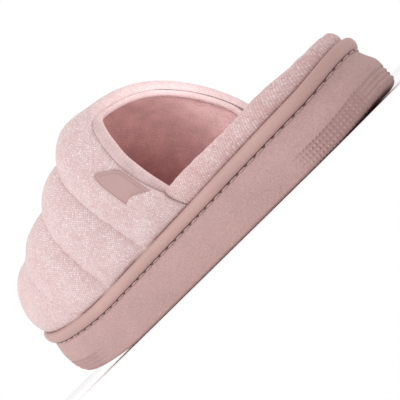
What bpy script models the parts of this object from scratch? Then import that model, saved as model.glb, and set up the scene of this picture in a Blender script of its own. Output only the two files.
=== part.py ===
"""Mule slipper for the right foot: a moulded sole with a quilted knit vamp and an open heel.

Sizes are in millimetres and become metres when a mesh is made. The toe points to -X, the heel
to +X, the inner side of the foot (with the patch) to -Y, and the tread stands on z = 0.
"""
import math
from collections import namedtuple

import bmesh
import bpy
import numpy as np

MM = 0.001
CLEAR = 0.3
MERGE = 0.01
SHARP_DEGREES = 40.0
FINE_STEPS = 4000
# Middle of the box round the finished part, which becomes the origin
BOX_MIDDLE = (-1.1, 1.575, 0.0)

# Sole, seen from above
LENGTH = 265.0
HEEL_X = 131.0
TOE_ROUND = 0.20
HEEL_ROUND = 0.145
PlanRow = namedtuple("PlanRow", "share inner outer")
SOLE_PLAN = (
    PlanRow(0.00, 46.0, 36.5),
    PlanRow(0.12, 47.5, 40.5),
    PlanRow(0.28, 48.0, 49.0),
    PlanRow(0.45, 44.5, 51.0),
    PlanRow(0.60, 39.5, 44.7),
    PlanRow(0.75, 37.5, 40.8),
    PlanRow(0.88, 34.0, 34.5),
    PlanRow(1.00, 34.0, 34.0),
)

# Sole, seen from the side
TOE_SPRING = 16.5
SPRING_START = -40.0
HEEL_LIFT = 2.5
HEEL_LIFT_START = 112.0
SOLE_HEIGHT = 22.3
LOOP_POINTS = 88

# Wall of the sole from the tread edge up: distance outside the plan, height
WallRow = namedtuple("WallRow", "grow height")
WALL_FOOT = (WallRow(-2.4, 0.0), WallRow(-0.8, 0.4), WallRow(-0.1, 1.2))
WALL_HEAD = (WallRow(0.3, 13.6), WallRow(-0.4, 18.2), WallRow(-1.1, 20.2), WallRow(-2.6, 20.7),
             WallRow(-2.6, SOLE_HEIGHT))
RIB_COUNT = 4
RIB_FIRST = 2.0
RIB_PITCH = 2.2
RIB_DEPTH = 0.5
TOE_RIBS_END = -68.0
HEEL_RIBS_START = 90.0
RIB_FADE = 16.0
# Swell of the wall at its ends: where along the foot it starts and is full, how far it stands out,
# and the heights over which it comes and goes
Swell = namedtuple("Swell", "start full amount low high")
SWELLS = (
    Swell(84.0, 112.0, 2.4, (-2.0, 3.0), (11.0, 20.8)),
    Swell(-92.0, -124.0, 0.7, (1.0, 7.0), (11.0, 20.2)),
    Swell(-92.0, -124.0, -1.2, (-1.0, 0.0), (0.0, 5.0)),
)

# Tread grooves: each family runs evenly from its first path to its last one
GROOVE_WIDTH = 2.2
GROOVE_ROOT = 1.5
GROOVE_DEPTH = 1.4
GROOVE_OVERSHOOT = 2.0
GROOVE_STEP = 16.0
TREAD_MARGIN = 4.0
Family = namedtuple("Family", "count first last")
TREAD = (
    # nested corners of the forefoot, from the toe to the inner edge
    Family(7, ((-119, -8), (-113, -25), (-46, -31), (-43, -38), (-36, -46)),
           ((-87, 37), (-75, 8), (-17, 8.5), (-7, -30), (3, -40))),
    # edge of the plain band across the ball
    Family(1, ((-20, 50), (-12, 10), (-3, -24), (1, -32), (9, -39)),
           ((-20, 50), (-12, 10), (-3, -24), (1, -32), (9, -39))),
    # outer forefoot, across
    Family(7, ((-58, 13), (-63, 22)), ((-20.5, 15), (-30, 50))),
    # outer forefoot, lengthwise
    Family(4, ((-66, 14), (-71, 15)), ((-60, 39), (-83, 38))),
    # waist, lengthwise
    Family(6, ((5, -28), (60, -31)), ((-5.5, 3), (50, 0.5))),
    # outer waist, diagonal
    Family(4, ((-5.5, 13), (15, 41)), ((10.5, 7), (36.5, 38))),
    Family(5, ((17, 7), (38.5, 32)), ((44, 6), (47.5, 10))),
    # outer waist, lengthwise
    Family(5, ((51, 10), (55, 10)), ((43, 33), (73, 33))),
    # heel, diagonal
    Family(3, ((53, 1.5), (84, 35)), ((56.7, -10.7), (96.5, 29.5))),
    Family(2, ((58.8, -16.5), (99.6, 24.3)), ((60.6, -23), (102, 19.8))),
    Family(3, ((66, -32), (70.5, -21.5), (103.5, 14)), ((81, -31), (85.5, -21), (107.5, 2.2))),
    # heel, back edge
    Family(5, ((103.4, 22.9), (124.6, 12.6)), ((111.2, 0.6), (126.7, -7.4))),
    # heel, inner edge
    Family(2, ((92, -22.3), (107.5, -28.2)), ((96.7, -16.5), (116.5, -25))),
    Family(1, ((101.3, -11.3), (115.8, -17.3), (124.8, -12.3)),
           ((101.3, -11.3), (115.8, -17.3), (124.8, -12.3))),
    Family(1, ((106.3, -7.2), (112, -9.5), (116, -7)), ((106.3, -7.2), (112, -9.5), (116, -7))),
)

# Strip round the top of the sole: distance outside the plan, height above its underside
STRIP_BASE = SOLE_HEIGHT + CLEAR
STRIP_PROFILE = (WallRow(-4.8, 0.0), WallRow(0.0, 0.0), WallRow(1.1, 1.0), WallRow(1.6, 3.2),
                 WallRow(1.1, 5.4), WallRow(-0.4, 6.5), WallRow(-4.0, 6.5), WallRow(-4.8, 6.0))
STRIP_TOP = STRIP_BASE + 6.5

# Quilted vamp: crown height above the strip and fullness of the arch along the foot
SKIRT_GROW = -5.1
SKIRT_TOP = STRIP_TOP + 0.2
ARCH_GROW = -2.6
ARCH_BASE = STRIP_TOP + 0.9
UPPER_WALL = 3.0
TOE_DOME = 0.13
CrownRow = namedtuple("CrownRow", "share crown ridge inner_full outer_full")
CROWN = (
    CrownRow(0.00, 31.0, 0.0, 2.3, 2.2),
    CrownRow(0.10, 38.8, -5.0, 2.35, 2.15),
    CrownRow(0.20, 46.6, -9.0, 2.4, 2.1),
    CrownRow(0.30, 55.2, -12.0, 2.43, 2.0),
    CrownRow(0.40, 62.2, -15.0, 2.5, 2.1),
    CrownRow(0.50, 68.3, -18.0, 2.6, 2.35),
    CrownRow(0.58, 64.8, -19.0, 2.4, 2.6),
    CrownRow(0.68, 63.0, -19.0, 2.4, 2.7),
)
# Seams between the puffs and, last, the collar edge: place along the foot at five heights of the arch
SeamRow = namedtuple("SeamRow", "strip quarter half high crown")
SEAM_HEIGHTS = (0.0, 0.25, 0.5, 0.75, 1.0)
SEAMS = (
    SeamRow(-72.0, -78.0, -84.0, -90.0, -96.0),
    SeamRow(-39.0, -43.0, -46.5, -50.5, -55.0),
    SeamRow(-3.5, -8.0, -12.8, -17.5, -22.5),
    SeamRow(35.0, 28.0, 22.3, 20.5, 20.0),
)
# Collar edge on the outer side, which stands farther back
COLLAR_OUTER = SeamRow(43.0, 39.0, 33.0, 26.0, 20.0)
PUFF_ROWS = (7, 7, 7, 8)
PUFF = 4.7
PUFF_ROUND = 0.65
PUFF_FADE = 16.0
COLLAR_PUFF = 3.8
ARCH_COLUMNS = 24

# Plush roll round the collar
ROLL_ACROSS = 3.3
ROLL_ALONG = 3.1
ROLL_SIDES = 10
ROLL_STATIONS = 34
ROLL_GAP = 0.6
ROLL_INSET = 0.6
ROLL_BASE = 14.4

# Knit rim round the heel: distance outside the plan, height above the underside
RIM_PROFILE = (WallRow(-9.2, STRIP_BASE), WallRow(SKIRT_GROW, STRIP_BASE), WallRow(SKIRT_GROW, SKIRT_TOP),
               WallRow(-2.4, STRIP_TOP + 1.0), WallRow(-1.8, STRIP_TOP + 3.8), WallRow(-3.2, STRIP_TOP + 6.6),
               WallRow(-5.8, STRIP_TOP + 7.6), WallRow(-8.4, STRIP_TOP + 6.4), WallRow(-9.4, STRIP_TOP + 3.2))
# Towards the collar the rim grows taller and more upright, by these shares of its height, in two stretches:
# where along the foot each starts and is full, and its part of the whole
RIM_TALLER = 0.65
RIM_UPRIGHT = 0.3
RimTurn = namedtuple("RimTurn", "start full part")
RIM_TURNS = (RimTurn(132.0, 98.0, 0.62), RimTurn(84.0, 40.0, 0.38))
RIM_STATIONS = 40
RIM_GAP = 1.1

# Plush footbed
INSOLE_GROW = -9.8
INSOLE_PROFILE = (WallRow(0.0, 0.0), WallRow(0.0, 3.0), WallRow(-2.2, 4.4), WallRow(-9.0, 3.8))
INSOLE_BASE = SOLE_HEIGHT + CLEAR

# Patch on the inner side of the vamp: corners as shares of the last puff and of the arch's height
PatchRow = namedtuple("PatchRow", "front_along front_height back_along back_height")
PATCH_TOP = PatchRow(0.60, 0.59, 0.96, 0.52)
PATCH_FOOT = PatchRow(0.57, 0.24, 0.96, 0.225)
PATCH_GAP = 0.4
PATCH_THICK = 0.9
PATCH_ROWS = 7

# Colours (linear) with roughness
Finish = namedtuple("Finish", "colour roughness")
FINISHES = {
    "outsole": Finish((0.50, 0.29, 0.27), 0.62),
    "welt_strip": Finish((0.55, 0.33, 0.28), 0.55),
    "upper": Finish((0.78, 0.58, 0.57), 0.85),
    "collar_binding": Finish((0.80, 0.60, 0.60), 0.95),
    "heel_rim": Finish((0.76, 0.53, 0.53), 0.85),
    "insole": Finish((0.62, 0.33, 0.33), 0.95),
    "label_patch": Finish((0.58, 0.33, 0.31), 0.60),
}


def smooth(stations, values, at):
    """Cubic curve through table rows, each slope taken from the neighbouring rows."""
    stations = np.asarray(stations, float)
    values = np.asarray(values, float)
    slopes = np.gradient(values, stations)
    row = np.clip(np.searchsorted(stations, at) - 1, 0, len(stations) - 2)
    span = stations[row + 1] - stations[row]
    t = np.clip((at - stations[row]) / span, 0.0, 1.0)
    blend = t * t * (3.0 - 2.0 * t)
    rise_in = t * (1.0 - t) ** 2 * span * slopes[row]
    rise_out = t * t * (1.0 - t) * span * slopes[row + 1]
    return values[row] * (1.0 - blend) + values[row + 1] * blend + rise_in - rise_out


def column(table, name):
    return [getattr(row, name) for row in table]


def round_end(share, length):
    """Quarter ellipse that closes an end within the given share of the length."""
    left = np.clip(1.0 - share / length, 0.0, 1.0)
    return np.sqrt(np.clip(1.0 - left * left, 0.0, None))


def half_widths(share, grow):
    """Half widths of the plan to the inner and outer side, widened by grow."""
    ends = round_end(share, TOE_ROUND) * round_end(1.0 - share, HEEL_ROUND)
    shares = column(SOLE_PLAN, "share")
    inner = (smooth(shares, column(SOLE_PLAN, "inner"), share) + grow) * ends
    outer = (smooth(shares, column(SOLE_PLAN, "outer"), share) + grow) * ends
    return inner, outer


def plan_x(share, grow):
    return HEEL_X + grow - (1.0 - share) * (LENGTH + 2.0 * grow)


def share_of(x, grow=0.0):
    return 1.0 - (HEEL_X + grow - x) / (LENGTH + 2.0 * grow)


def rise(x):
    """Height of the underside: a parabola up to the toe and a short one up to the heel's edge."""
    toe = np.clip((SPRING_START - x) / (LENGTH - HEEL_X + SPRING_START), 0.0, None)
    heel = np.clip((x - HEEL_LIFT_START) / (HEEL_X - HEEL_LIFT_START), 0.0, None)
    return TOE_SPRING * toe ** 2 + HEEL_LIFT * heel ** 2


def plan_points(share, inner_side, grow, height):
    """Points of the plan on one side or the other, at a height above the underside."""
    inner, outer = half_widths(share, grow)
    x = plan_x(share, grow)
    return np.column_stack((x, np.where(inner_side, -inner, outer), rise(x) + height))


def loop(grow, height):
    """Closed loop round the plan, from the toe along the inner side to the heel and back."""
    turn = np.arange(LOOP_POINTS) * 2.0 * math.pi / LOOP_POINTS
    share = (1.0 - np.cos(turn)) / 2.0
    return plan_points(share, np.sin(turn) >= 0.0, grow, height)


def ring_faces(first, second, count):
    """Quads between two loops that start at the given vertex numbers."""
    after = [(k + 1) % count for k in range(count)]
    return [(first + k, first + after[k], second + after[k], second + k) for k in range(count)]


def across_faces(start, upward):
    """Strips from side to side that close a loop, facing up or down."""
    half = LOOP_POINTS // 2
    faces = []
    for k in range(half):
        quad = [start + k, start + k + 1,
                start + (LOOP_POINTS - k - 1) % LOOP_POINTS, start + (LOOP_POINTS - k) % LOOP_POINTS]
        quad = list(dict.fromkeys(quad))
        faces.append(tuple(quad if upward else reversed(quad)))
    return faces


def make_piece(name, points, faces):
    """Mesh object from points in millimetres, merged where they meet and facing outwards."""
    mesh = bpy.data.meshes.new(name)
    mesh.from_pydata(((np.asarray(points) - BOX_MIDDLE) * MM).tolist(), [], faces)
    work = bmesh.new()
    work.from_mesh(mesh)
    bmesh.ops.remove_doubles(work, verts=work.verts, dist=MERGE * MM)
    bmesh.ops.recalc_face_normals(work, faces=work.faces)
    work.to_mesh(mesh)
    work.free()
    mesh.shade_smooth()
    mesh.set_sharp_from_angle(angle=math.radians(SHARP_DEGREES))
    piece = bpy.data.objects.new(name, mesh)
    bpy.context.scene.collection.objects.link(piece)
    return piece


def give_finish(piece):
    finish = FINISHES[piece.name]
    material = bpy.data.materials.new(piece.name)
    material.use_nodes = True
    shader = material.node_tree.nodes["Principled BSDF"]
    shader.inputs["Base Color"].default_value = (*finish.colour, 1.0)
    shader.inputs["Roughness"].default_value = finish.roughness
    piece.data.materials.append(material)


def loft(name, loops, closed):
    """Solid through loops: a ring where the last loop joins the first, or capped by side strips."""
    points = np.vstack(loops)
    faces = []
    pairs = len(loops) if closed else len(loops) - 1
    for k in range(pairs):
        faces += ring_faces(k * LOOP_POINTS, (k + 1) % len(loops) * LOOP_POINTS, LOOP_POINTS)
    if not closed:
        faces += across_faces(0, upward=False)
        faces += across_faces((len(loops) - 1) * LOOP_POINTS, upward=True)
    return make_piece(name, points, faces)


def ease(low, high, at):
    """Smooth step that leaves 0 at low and reaches 1 at high."""
    t = np.clip((at - low) / (high - low), 0.0, 1.0)
    return t * t * (3.0 - 2.0 * t)


def swell(x, height):
    """How far the wall stands out beyond its plain profile near the heel and the toe."""
    amount = 0.0
    for end in SWELLS:
        level = ease(*end.low, height) * (1.0 - ease(*end.high, height))
        amount = amount + end.amount * level * ease(end.start, end.full, x)
    return amount


def rib_strength(x):
    """Share of the rib depth along the foot: full at toe and heel, none between."""
    toe = np.clip((TOE_RIBS_END - x) / RIB_FADE, 0.0, 1.0)
    heel = np.clip((x - HEEL_RIBS_START) / RIB_FADE, 0.0, 1.0)
    return toe + heel


def outsole():
    """Moulded sole: loops up the wall with ribs round toe and heel, and grooves cut in the tread."""
    x = loop(0.0, 0.0)[:, 0]
    rows = list(WALL_FOOT)
    for k in range(RIB_COUNT):
        valley = RIB_FIRST + k * RIB_PITCH
        rows.append(WallRow(-RIB_DEPTH * rib_strength(x), valley))
        rows.append(WallRow(0.0, valley + RIB_PITCH / 2.0))
    rows += WALL_HEAD
    sole = loft("outsole", [loop(row.grow + swell(x, row.height), row.height) for row in rows], closed=False)
    cutter = tread_cutter()
    cut = sole.modifiers.new("tread", "BOOLEAN")
    cut.operation = "DIFFERENCE"
    cut.solver = "EXACT"
    cut.object = cutter
    return sole


def family_paths(family):
    """Groove paths of a family, spread evenly between its first and last path."""
    first = np.array(family.first, float)
    last = np.array(family.last, float)
    for k in range(family.count):
        t = k / max(family.count - 1, 1)
        yield first * (1.0 - t) + last * t


def fine_path(path):
    """Path kept inside the tread, with extra points so that it follows the rise at toe and heel."""
    edge = swell(path[:, 0], 0.0) - TREAD_MARGIN
    inner, outer = half_widths(share_of(path[:, 0], edge), edge)
    path = np.column_stack((path[:, 0], np.clip(path[:, 1], -inner, outer)))
    points = [path[:1]]
    for a, b in zip(path[:-1], path[1:]):
        curved = min(a[0], b[0]) < SPRING_START or max(a[0], b[0]) > HEEL_LIFT_START
        steps = math.ceil(np.linalg.norm(b - a) / GROOVE_STEP) if curved else 1
        t = np.arange(1, steps + 1)[:, None] / steps
        points.append(a * (1.0 - t) + b * t)
    return np.vstack(points)


def groove(path):
    """Closed prism along a path, narrower at its root than at the tread."""
    ahead = np.diff(path, axis=0)
    ahead /= np.linalg.norm(ahead, axis=1)[:, None]
    before = np.vstack((ahead[:1], ahead))
    after = np.vstack((ahead, ahead[-1:]))
    mean = before + after
    mean /= np.linalg.norm(mean, axis=1)[:, None]
    side = np.column_stack((-mean[:, 1], mean[:, 0])) / (mean * after).sum(axis=1)[:, None]
    floor = rise(path[:, 0])
    corners = []
    for half, height in ((-GROOVE_WIDTH, -GROOVE_OVERSHOOT), (GROOVE_WIDTH, -GROOVE_OVERSHOOT),
                         (GROOVE_ROOT, GROOVE_DEPTH), (-GROOVE_ROOT, GROOVE_DEPTH)):
        corners.append(np.column_stack((path + side * half / 2.0, floor + height)))
    points = np.stack(corners, axis=1).reshape(-1, 3)
    faces = [(0, 1, 2, 3)]
    for k in range(len(path) - 1):
        faces += [(4 * k + c, 4 * k + 4 + c, 4 * k + 4 + (c + 1) % 4, 4 * k + (c + 1) % 4) for c in range(4)]
    last = 4 * (len(path) - 1)
    faces.append((last + 3, last + 2, last + 1, last))
    return points, faces


def tread_cutter():
    """All grooves as one hidden cutter."""
    points = []
    faces = []
    for family in TREAD:
        for path in family_paths(family):
            start = sum(len(block) for block in points)
            block, block_faces = groove(fine_path(path))
            points.append(block)
            faces += [tuple(start + k for k in face) for face in block_faces]
    cutter = make_piece("tread_cutter", np.vstack(points), faces)
    cutter.hide_render = True
    cutter.display_type = "WIRE"
    return cutter


def welt_strip():
    loops = [loop(row.grow, STRIP_BASE + row.height) for row in STRIP_PROFILE]
    return loft("welt_strip", loops, closed=True)


def insole():
    loops = [loop(INSOLE_GROW + row.grow, INSOLE_BASE + row.height) for row in INSOLE_PROFILE]
    return loft("insole", loops, closed=False)


def arch_fullness(share, angle):
    """Power of the quarter ellipse on the side of the ridge that the angle is on."""
    shares = column(CROWN, "share")
    return np.where(np.cos(angle) > 0.0, smooth(shares, column(CROWN, "inner_full"), share),
                    smooth(shares, column(CROWN, "outer_full"), share))


def seam_place(seam, height, outer_side):
    """Place of a seam along the foot at a height of the arch; the collar has its own outer side."""
    place = smooth(SEAM_HEIGHTS, seam, height)
    if seam is SEAMS[-1]:
        place = np.where(outer_side, smooth(SEAM_HEIGHTS, COLLAR_OUTER, height), place)
    return place


def seam_share(seam, angle):
    """Place of a seam as a share of the length, read at the height that the angle reaches on the arch."""
    middle = share_of(seam.half)
    height = np.abs(np.sin(angle)) ** (2.0 / arch_fullness(middle, angle))
    return share_of(seam_place(seam, height, np.cos(angle) < 0.0))


def arch_point(share, angle, inset):
    """Point of the vamp: two full quarter ellipses that meet on the ridge, drawn inwards by inset."""
    grow = ARCH_GROW - inset
    inner, outer = half_widths(share, grow)
    shares = column(CROWN, "share")
    crown = (smooth(shares, column(CROWN, "crown"), share) - inset) * round_end(share, TOE_DOME)
    ridge = smooth(shares, column(CROWN, "ridge"), share) * round_end(share, TOE_DOME)
    power = 2.0 / arch_fullness(share, angle)
    reach = np.where(np.cos(angle) > 0.0, -inner, outer) - ridge
    x = plan_x(share, grow)
    y = ridge + reach * np.abs(np.cos(angle)) ** power
    z = rise(x) + ARCH_BASE + crown * np.abs(np.sin(angle)) ** power
    return np.stack(np.broadcast_arrays(x, y, z), axis=-1)


def puff_height(channel, t):
    """Height of a puff across its channel: round in the middle and pulled in at the seams."""
    if channel == 0:
        return PUFF * np.cos(t * math.pi / 2.0) ** PUFF_ROUND
    shape = PUFF * np.sin(t * math.pi) ** PUFF_ROUND
    if channel == len(SEAMS) - 1:
        return np.where(t > 0.5, COLLAR_PUFF + (PUFF - COLLAR_PUFF) * shape / PUFF, shape)
    return shape


def strip_fade(share, angle):
    """Share of a puff's height that is left near the strip: a quarter ellipse of the height above it."""
    crown = smooth(column(CROWN, "share"), column(CROWN, "crown"), share) * round_end(share, TOE_DOME)
    height = crown * np.abs(np.sin(angle)) ** (2.0 / arch_fullness(share, angle))
    return round_end(height, PUFF_FADE)


def vamp_stations():
    """Channel number and place within the channel for each row from toe to collar."""
    for channel, rows in enumerate(PUFF_ROWS):
        first = 0 if channel == 0 else 1
        for k in range(first, rows + 1):
            t = k / rows
            yield channel, 1.0 - math.cos(t * math.pi / 2.0) if channel == 0 else t


def channel_share(channel, t, angle):
    start = seam_share(SEAMS[channel - 1], angle) if channel else 0.0
    return start + (seam_share(SEAMS[channel], angle) - start) * t


def vamp_row(channel, t, wall):
    """One row across the vamp, skirt to skirt: the outer face, or the inner one at the wall's depth."""
    angle = np.linspace(0.0, math.pi, ARCH_COLUMNS + 1)
    share = channel_share(channel, t, angle)
    inset = wall if wall else -puff_height(channel, np.asarray(t)) * strip_fade(share, angle)
    arch = arch_point(share, angle, inset)
    ends = share[[0, -1]]
    sides = np.array([True, False])
    skirt_low = plan_points(ends, sides, SKIRT_GROW - wall, STRIP_BASE)
    skirt_high = plan_points(ends, sides, SKIRT_GROW - wall, SKIRT_TOP)
    return np.vstack((skirt_low[:1], skirt_high[:1], arch, skirt_high[1:], skirt_low[1:]))


def upper():
    """Hollow vamp: quilted outer face and plain inner face, joined along the collar and underneath."""
    stations = list(vamp_stations())
    outer = [vamp_row(channel, t, 0.0) for channel, t in stations]
    inner = [vamp_row(channel, t, UPPER_WALL) for channel, t in stations]
    rows = len(stations)
    width = len(outer[0])
    points = np.vstack(outer + inner)
    number = np.arange(2 * rows * width).reshape(2, rows, width)
    faces = []
    for i in range(rows - 1):
        for j in range(width - 1):
            for face in range(2):
                faces.append((number[face, i, j], number[face, i + 1, j],
                              number[face, i + 1, j + 1], number[face, i, j + 1]))
        for j in (0, width - 1):
            faces.append((number[0, i, j], number[0, i + 1, j], number[1, i + 1, j], number[1, i, j]))
    for j in range(width - 1):
        faces.append((number[0, -1, j], number[0, -1, j + 1], number[1, -1, j + 1], number[1, -1, j]))
    return make_piece("upper", points, [tuple(int(k) for k in face) for face in faces])


def cap_faces(start, count):
    """Strips across a section, each between points on its two sides."""
    faces = []
    for k in range((count - 1) // 2):
        quad = ((count - k) % count, k + 1, k + 2, count - k - 1)
        faces.append(tuple(start + corner for corner in dict.fromkeys(quad)))
    return faces


def sweep(name, sections):
    """Solid through a row of like sections, closed at both ends."""
    count = len(sections[0])
    points = np.vstack(sections)
    faces = cap_faces(0, count) + cap_faces(len(points) - count, count)
    for k in range(len(sections) - 1):
        faces += ring_faces(k * count, (k + 1) * count, count)
    return make_piece(name, points, faces)


def unit(vectors):
    return vectors / np.linalg.norm(vectors, axis=-1, keepdims=True)


def collar_edge(angle, inset):
    return arch_point(seam_share(SEAMS[-1], angle), angle, inset)


def even_angles(inset):
    """Angles that space the roll's stations evenly along the collar, from strip to strip."""
    fine = np.linspace(0.0, math.pi, FINE_STEPS)
    edge = collar_edge(fine, inset)
    above = edge[:, 2] > rise(edge[:, 0]) + ARCH_BASE + ROLL_BASE
    fine = fine[above]
    run = np.cumsum(np.linalg.norm(np.diff(edge[above], axis=0, prepend=edge[above][:1]), axis=1))
    return np.interp(np.linspace(0.0, run[-1], ROLL_STATIONS), run, fine)


def collar_binding():
    """Plush roll: an oval carried round the collar edge, just behind the vamp's wall."""
    angle = even_angles(ROLL_INSET)
    edge = collar_edge(angle, ROLL_INSET)
    across = collar_edge(angle, ROLL_INSET - 1.0) - edge
    ahead = unit(np.gradient(edge, axis=0))
    across = unit(across - ahead * (across * ahead).sum(axis=1)[:, None])
    along = np.cross(ahead, across)
    path = edge + along * (ROLL_ALONG + ROLL_GAP)
    turn = np.arange(ROLL_SIDES) * 2.0 * math.pi / ROLL_SIDES
    sections = []
    for k in range(ROLL_STATIONS):
        oval = np.outer(np.cos(turn) * ROLL_ACROSS, across[k]) + np.outer(np.sin(turn) * ROLL_ALONG, along[k])
        sections.append(path[k] + oval)
    return sweep("collar_binding", sections)


def rim_turn(x):
    """Share of the rim's growth along the foot: none at the heel, full at the collar."""
    return sum(turn.part * ease(turn.start, turn.full, x) for turn in RIM_TURNS)


def rim_line(row):
    """One line of the rim round the heel, from just behind the collar edge at its height."""
    over = max(row.height - STRIP_TOP, 0.0)
    crown = smooth(column(CROWN, "share"), column(CROWN, "crown"), share_of(SEAMS[-1].strip))
    level = np.clip((row.height + over * RIM_TALLER - ARCH_BASE) / crown, 0.0, 1.0)
    sides = np.array((False, True))
    starts = share_of(seam_place(SEAMS[-1], np.array((level, level)), sides) + RIM_GAP)
    inner, outer = np.arccos(1.0 - 2.0 * starts)
    turn = np.linspace(inner, 2.0 * math.pi - outer, RIM_STATIONS)
    share = (1.0 - np.cos(turn)) / 2.0
    turned = over * rim_turn(plan_x(share, row.grow))
    return plan_points(share, np.sin(turn) >= 0.0, row.grow + turned * RIM_UPRIGHT,
                       row.height + turned * RIM_TALLER)


def heel_rim():
    """Padded rim: its profile carried round the heel from one side of the vamp to the other."""
    rows = [rim_line(row) for row in RIM_PROFILE]
    return sweep("heel_rim", [np.array([row[k] for row in rows]) for k in range(RIM_STATIONS)])


def label_patch():
    """Bare patch on the inner side, cut from the vamp's own surface and set just outside it."""
    channel = len(SEAMS) - 1
    back = np.linspace(0.0, 1.0, PATCH_ROWS)[:, None]
    foot = np.linspace(0.0, 1.0, PATCH_ROWS)[None, :]
    top, low = PATCH_TOP, PATCH_FOOT
    along = (top.front_along * (1.0 - back) + top.back_along * back) * (1.0 - foot)
    along = along + (low.front_along * (1.0 - back) + low.back_along * back) * foot
    height = (top.front_height * (1.0 - back) + top.back_height * back) * (1.0 - foot)
    height = height + (low.front_height * (1.0 - back) + low.back_height * back) * foot
    around = np.arcsin(height ** (arch_fullness(share_of(SEAMS[-1].half), 0.0) / 2.0))
    share = channel_share(channel, along, around)
    puff = puff_height(channel, along) * strip_fade(share, around)
    faces_at = [arch_point(share, around, -puff - gap) for gap in (PATCH_GAP, PATCH_GAP + PATCH_THICK)]
    points = np.concatenate([layer.reshape(-1, 3) for layer in faces_at])
    number = np.arange(len(points)).reshape(2, PATCH_ROWS, PATCH_ROWS)
    faces = []
    for i in range(PATCH_ROWS - 1):
        for layer in number:
            for j in range(PATCH_ROWS - 1):
                faces.append((layer[i, j], layer[i + 1, j], layer[i + 1, j + 1], layer[i, j + 1]))
        for edge in (number[:, :, 0], number[:, :, -1], number[:, 0, :], number[:, -1, :]):
            faces.append((edge[0, i], edge[0, i + 1], edge[1, i + 1], edge[1, i]))
    return make_piece("label_patch", points, [tuple(int(k) for k in face) for face in faces])


def main():
    for old in list(bpy.data.objects):
        bpy.data.objects.remove(old)
    for build in (outsole, welt_strip, insole, upper, collar_binding, heel_rim, label_patch):
        give_finish(build())


main()
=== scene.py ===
"""Dresses the solids of a quilted mule slipper in knit, plush and rubber, and sets a plain studio round it.

Shapes are worked out in millimetres in the plan's own frame: the toe points to -X, the heel to +X, the
inner side of the foot to -Y, and the tread stands on z = 0. They become metres when a mesh is made.
"""
import math
from collections import namedtuple

import bmesh
import bpy
import numpy as np
from bpy.props import FloatProperty, FloatVectorProperty, PointerProperty
from mathutils import Matrix, Vector


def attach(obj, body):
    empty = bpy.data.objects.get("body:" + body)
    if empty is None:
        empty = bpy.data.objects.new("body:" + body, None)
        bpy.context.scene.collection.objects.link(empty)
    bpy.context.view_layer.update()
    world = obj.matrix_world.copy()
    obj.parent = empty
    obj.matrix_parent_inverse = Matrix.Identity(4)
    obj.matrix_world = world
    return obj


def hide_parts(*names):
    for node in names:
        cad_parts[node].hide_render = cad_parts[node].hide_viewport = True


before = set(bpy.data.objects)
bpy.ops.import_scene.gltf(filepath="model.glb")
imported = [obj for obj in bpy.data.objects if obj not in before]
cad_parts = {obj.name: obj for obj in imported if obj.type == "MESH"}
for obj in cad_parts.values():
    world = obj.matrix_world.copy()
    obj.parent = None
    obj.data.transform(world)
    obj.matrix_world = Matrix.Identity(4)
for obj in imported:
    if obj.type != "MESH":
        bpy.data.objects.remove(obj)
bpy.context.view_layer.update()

bl_info = {
    "name": "Quilted mule slipper",
    "version": (1, 0, 0),
    "blender": (4, 5, 0),
    "location": "3D View > Sidebar > Slipper",
    "description": "Knit, plush and rubber finishes for a mule slipper",
    "category": "Object",
}

MM = 0.001
BODY = "root"
# Middle of the underside of the solids' box, which is the frame's origin
BOX_MIDDLE = np.array((-1.1, 1.575, 0.0))
MERGE = 0.004
TINY = 0.001
SOFTENINGS = 3
SHARP_DEGREES = 50.0
FINE_STEPS = 4000

# Sole, seen from above
LENGTH = 265.0
HEEL_X = 131.0
TOE_ROUND = 0.20
HEEL_ROUND = 0.145
PlanRow = namedtuple("PlanRow", "share inner outer")
SOLE_PLAN = (
    PlanRow(0.00, 46.0, 36.5),
    PlanRow(0.12, 47.5, 40.5),
    PlanRow(0.28, 48.0, 49.0),
    PlanRow(0.45, 44.5, 51.0),
    PlanRow(0.60, 39.5, 44.7),
    PlanRow(0.75, 37.5, 40.8),
    PlanRow(0.88, 34.0, 34.5),
    PlanRow(1.00, 34.0, 34.0),
)
END_RAMP = 0.12

# Sole, seen from the side
TOE_SPRING = 16.5
SPRING_START = -40.0
HEEL_LIFT = 2.5
HEEL_LIFT_START = 112.0
SOLE_HEIGHT = 22.3
SOLE_STATIONS = 521

# Wall of the sole: distance outside the plan, height
WallRow = namedtuple("WallRow", "grow height")
FOOT_REACH = 2.4
FOOT_HEIGHT = 1.5
FOOT_ROWS = 9
SIDE_ROWS = 36
SIDE_TOP = WallRow(0.3, 13.6)
WALL_HEAD = (WallRow(0.25, 15.0), WallRow(0.15, 16.6), WallRow(0.05, 18.2), WallRow(-0.1, 19.6),
             WallRow(-0.3, 20.8), WallRow(-0.6, 21.7), WallRow(-1.0, 22.25), WallRow(-1.7, 22.5),
             WallRow(-2.8, SOLE_HEIGHT + 0.25))
WALL_LIP = 2.4
RIB_COUNT = 4
RIB_FIRST = 1.2
RIB_PITCH = 2.2
RIB_DEPTH = 0.6
TOE_RIBS_END = -68.0
HEEL_RIBS_START = 90.0
RIB_FADE = 16.0
NOTCH_PITCH = 2.0
NOTCH_DEPTH = 0.65
NOTCH_TOE = (-124.0, -112.0)
NOTCH_HEEL = (127.0, 131.0)
BAR_EDGE = (0.35, 0.75)
WALL_STATIONS = 741
WALL_DENSITY = 1.6
# How strongly the ribs' depth darkens the wall's colour: painted shade in the rib valleys
WALL_SHADE = 0.9
# Swell of the wall at its ends: where along the foot it starts and is full, how far it stands out,
# and the heights over which it comes and goes
Swell = namedtuple("Swell", "start full amount low high")
SWELLS = (
    Swell(84.0, 112.0, 2.4, (-2.5, 1.5), (11.0, 20.8)),
    Swell(-92.0, -124.0, 0.7, (1.0, 7.0), (11.0, 20.2)),
    Swell(-92.0, -124.0, -1.2, (-1.0, 0.0), (0.0, 5.0)),
)

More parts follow.
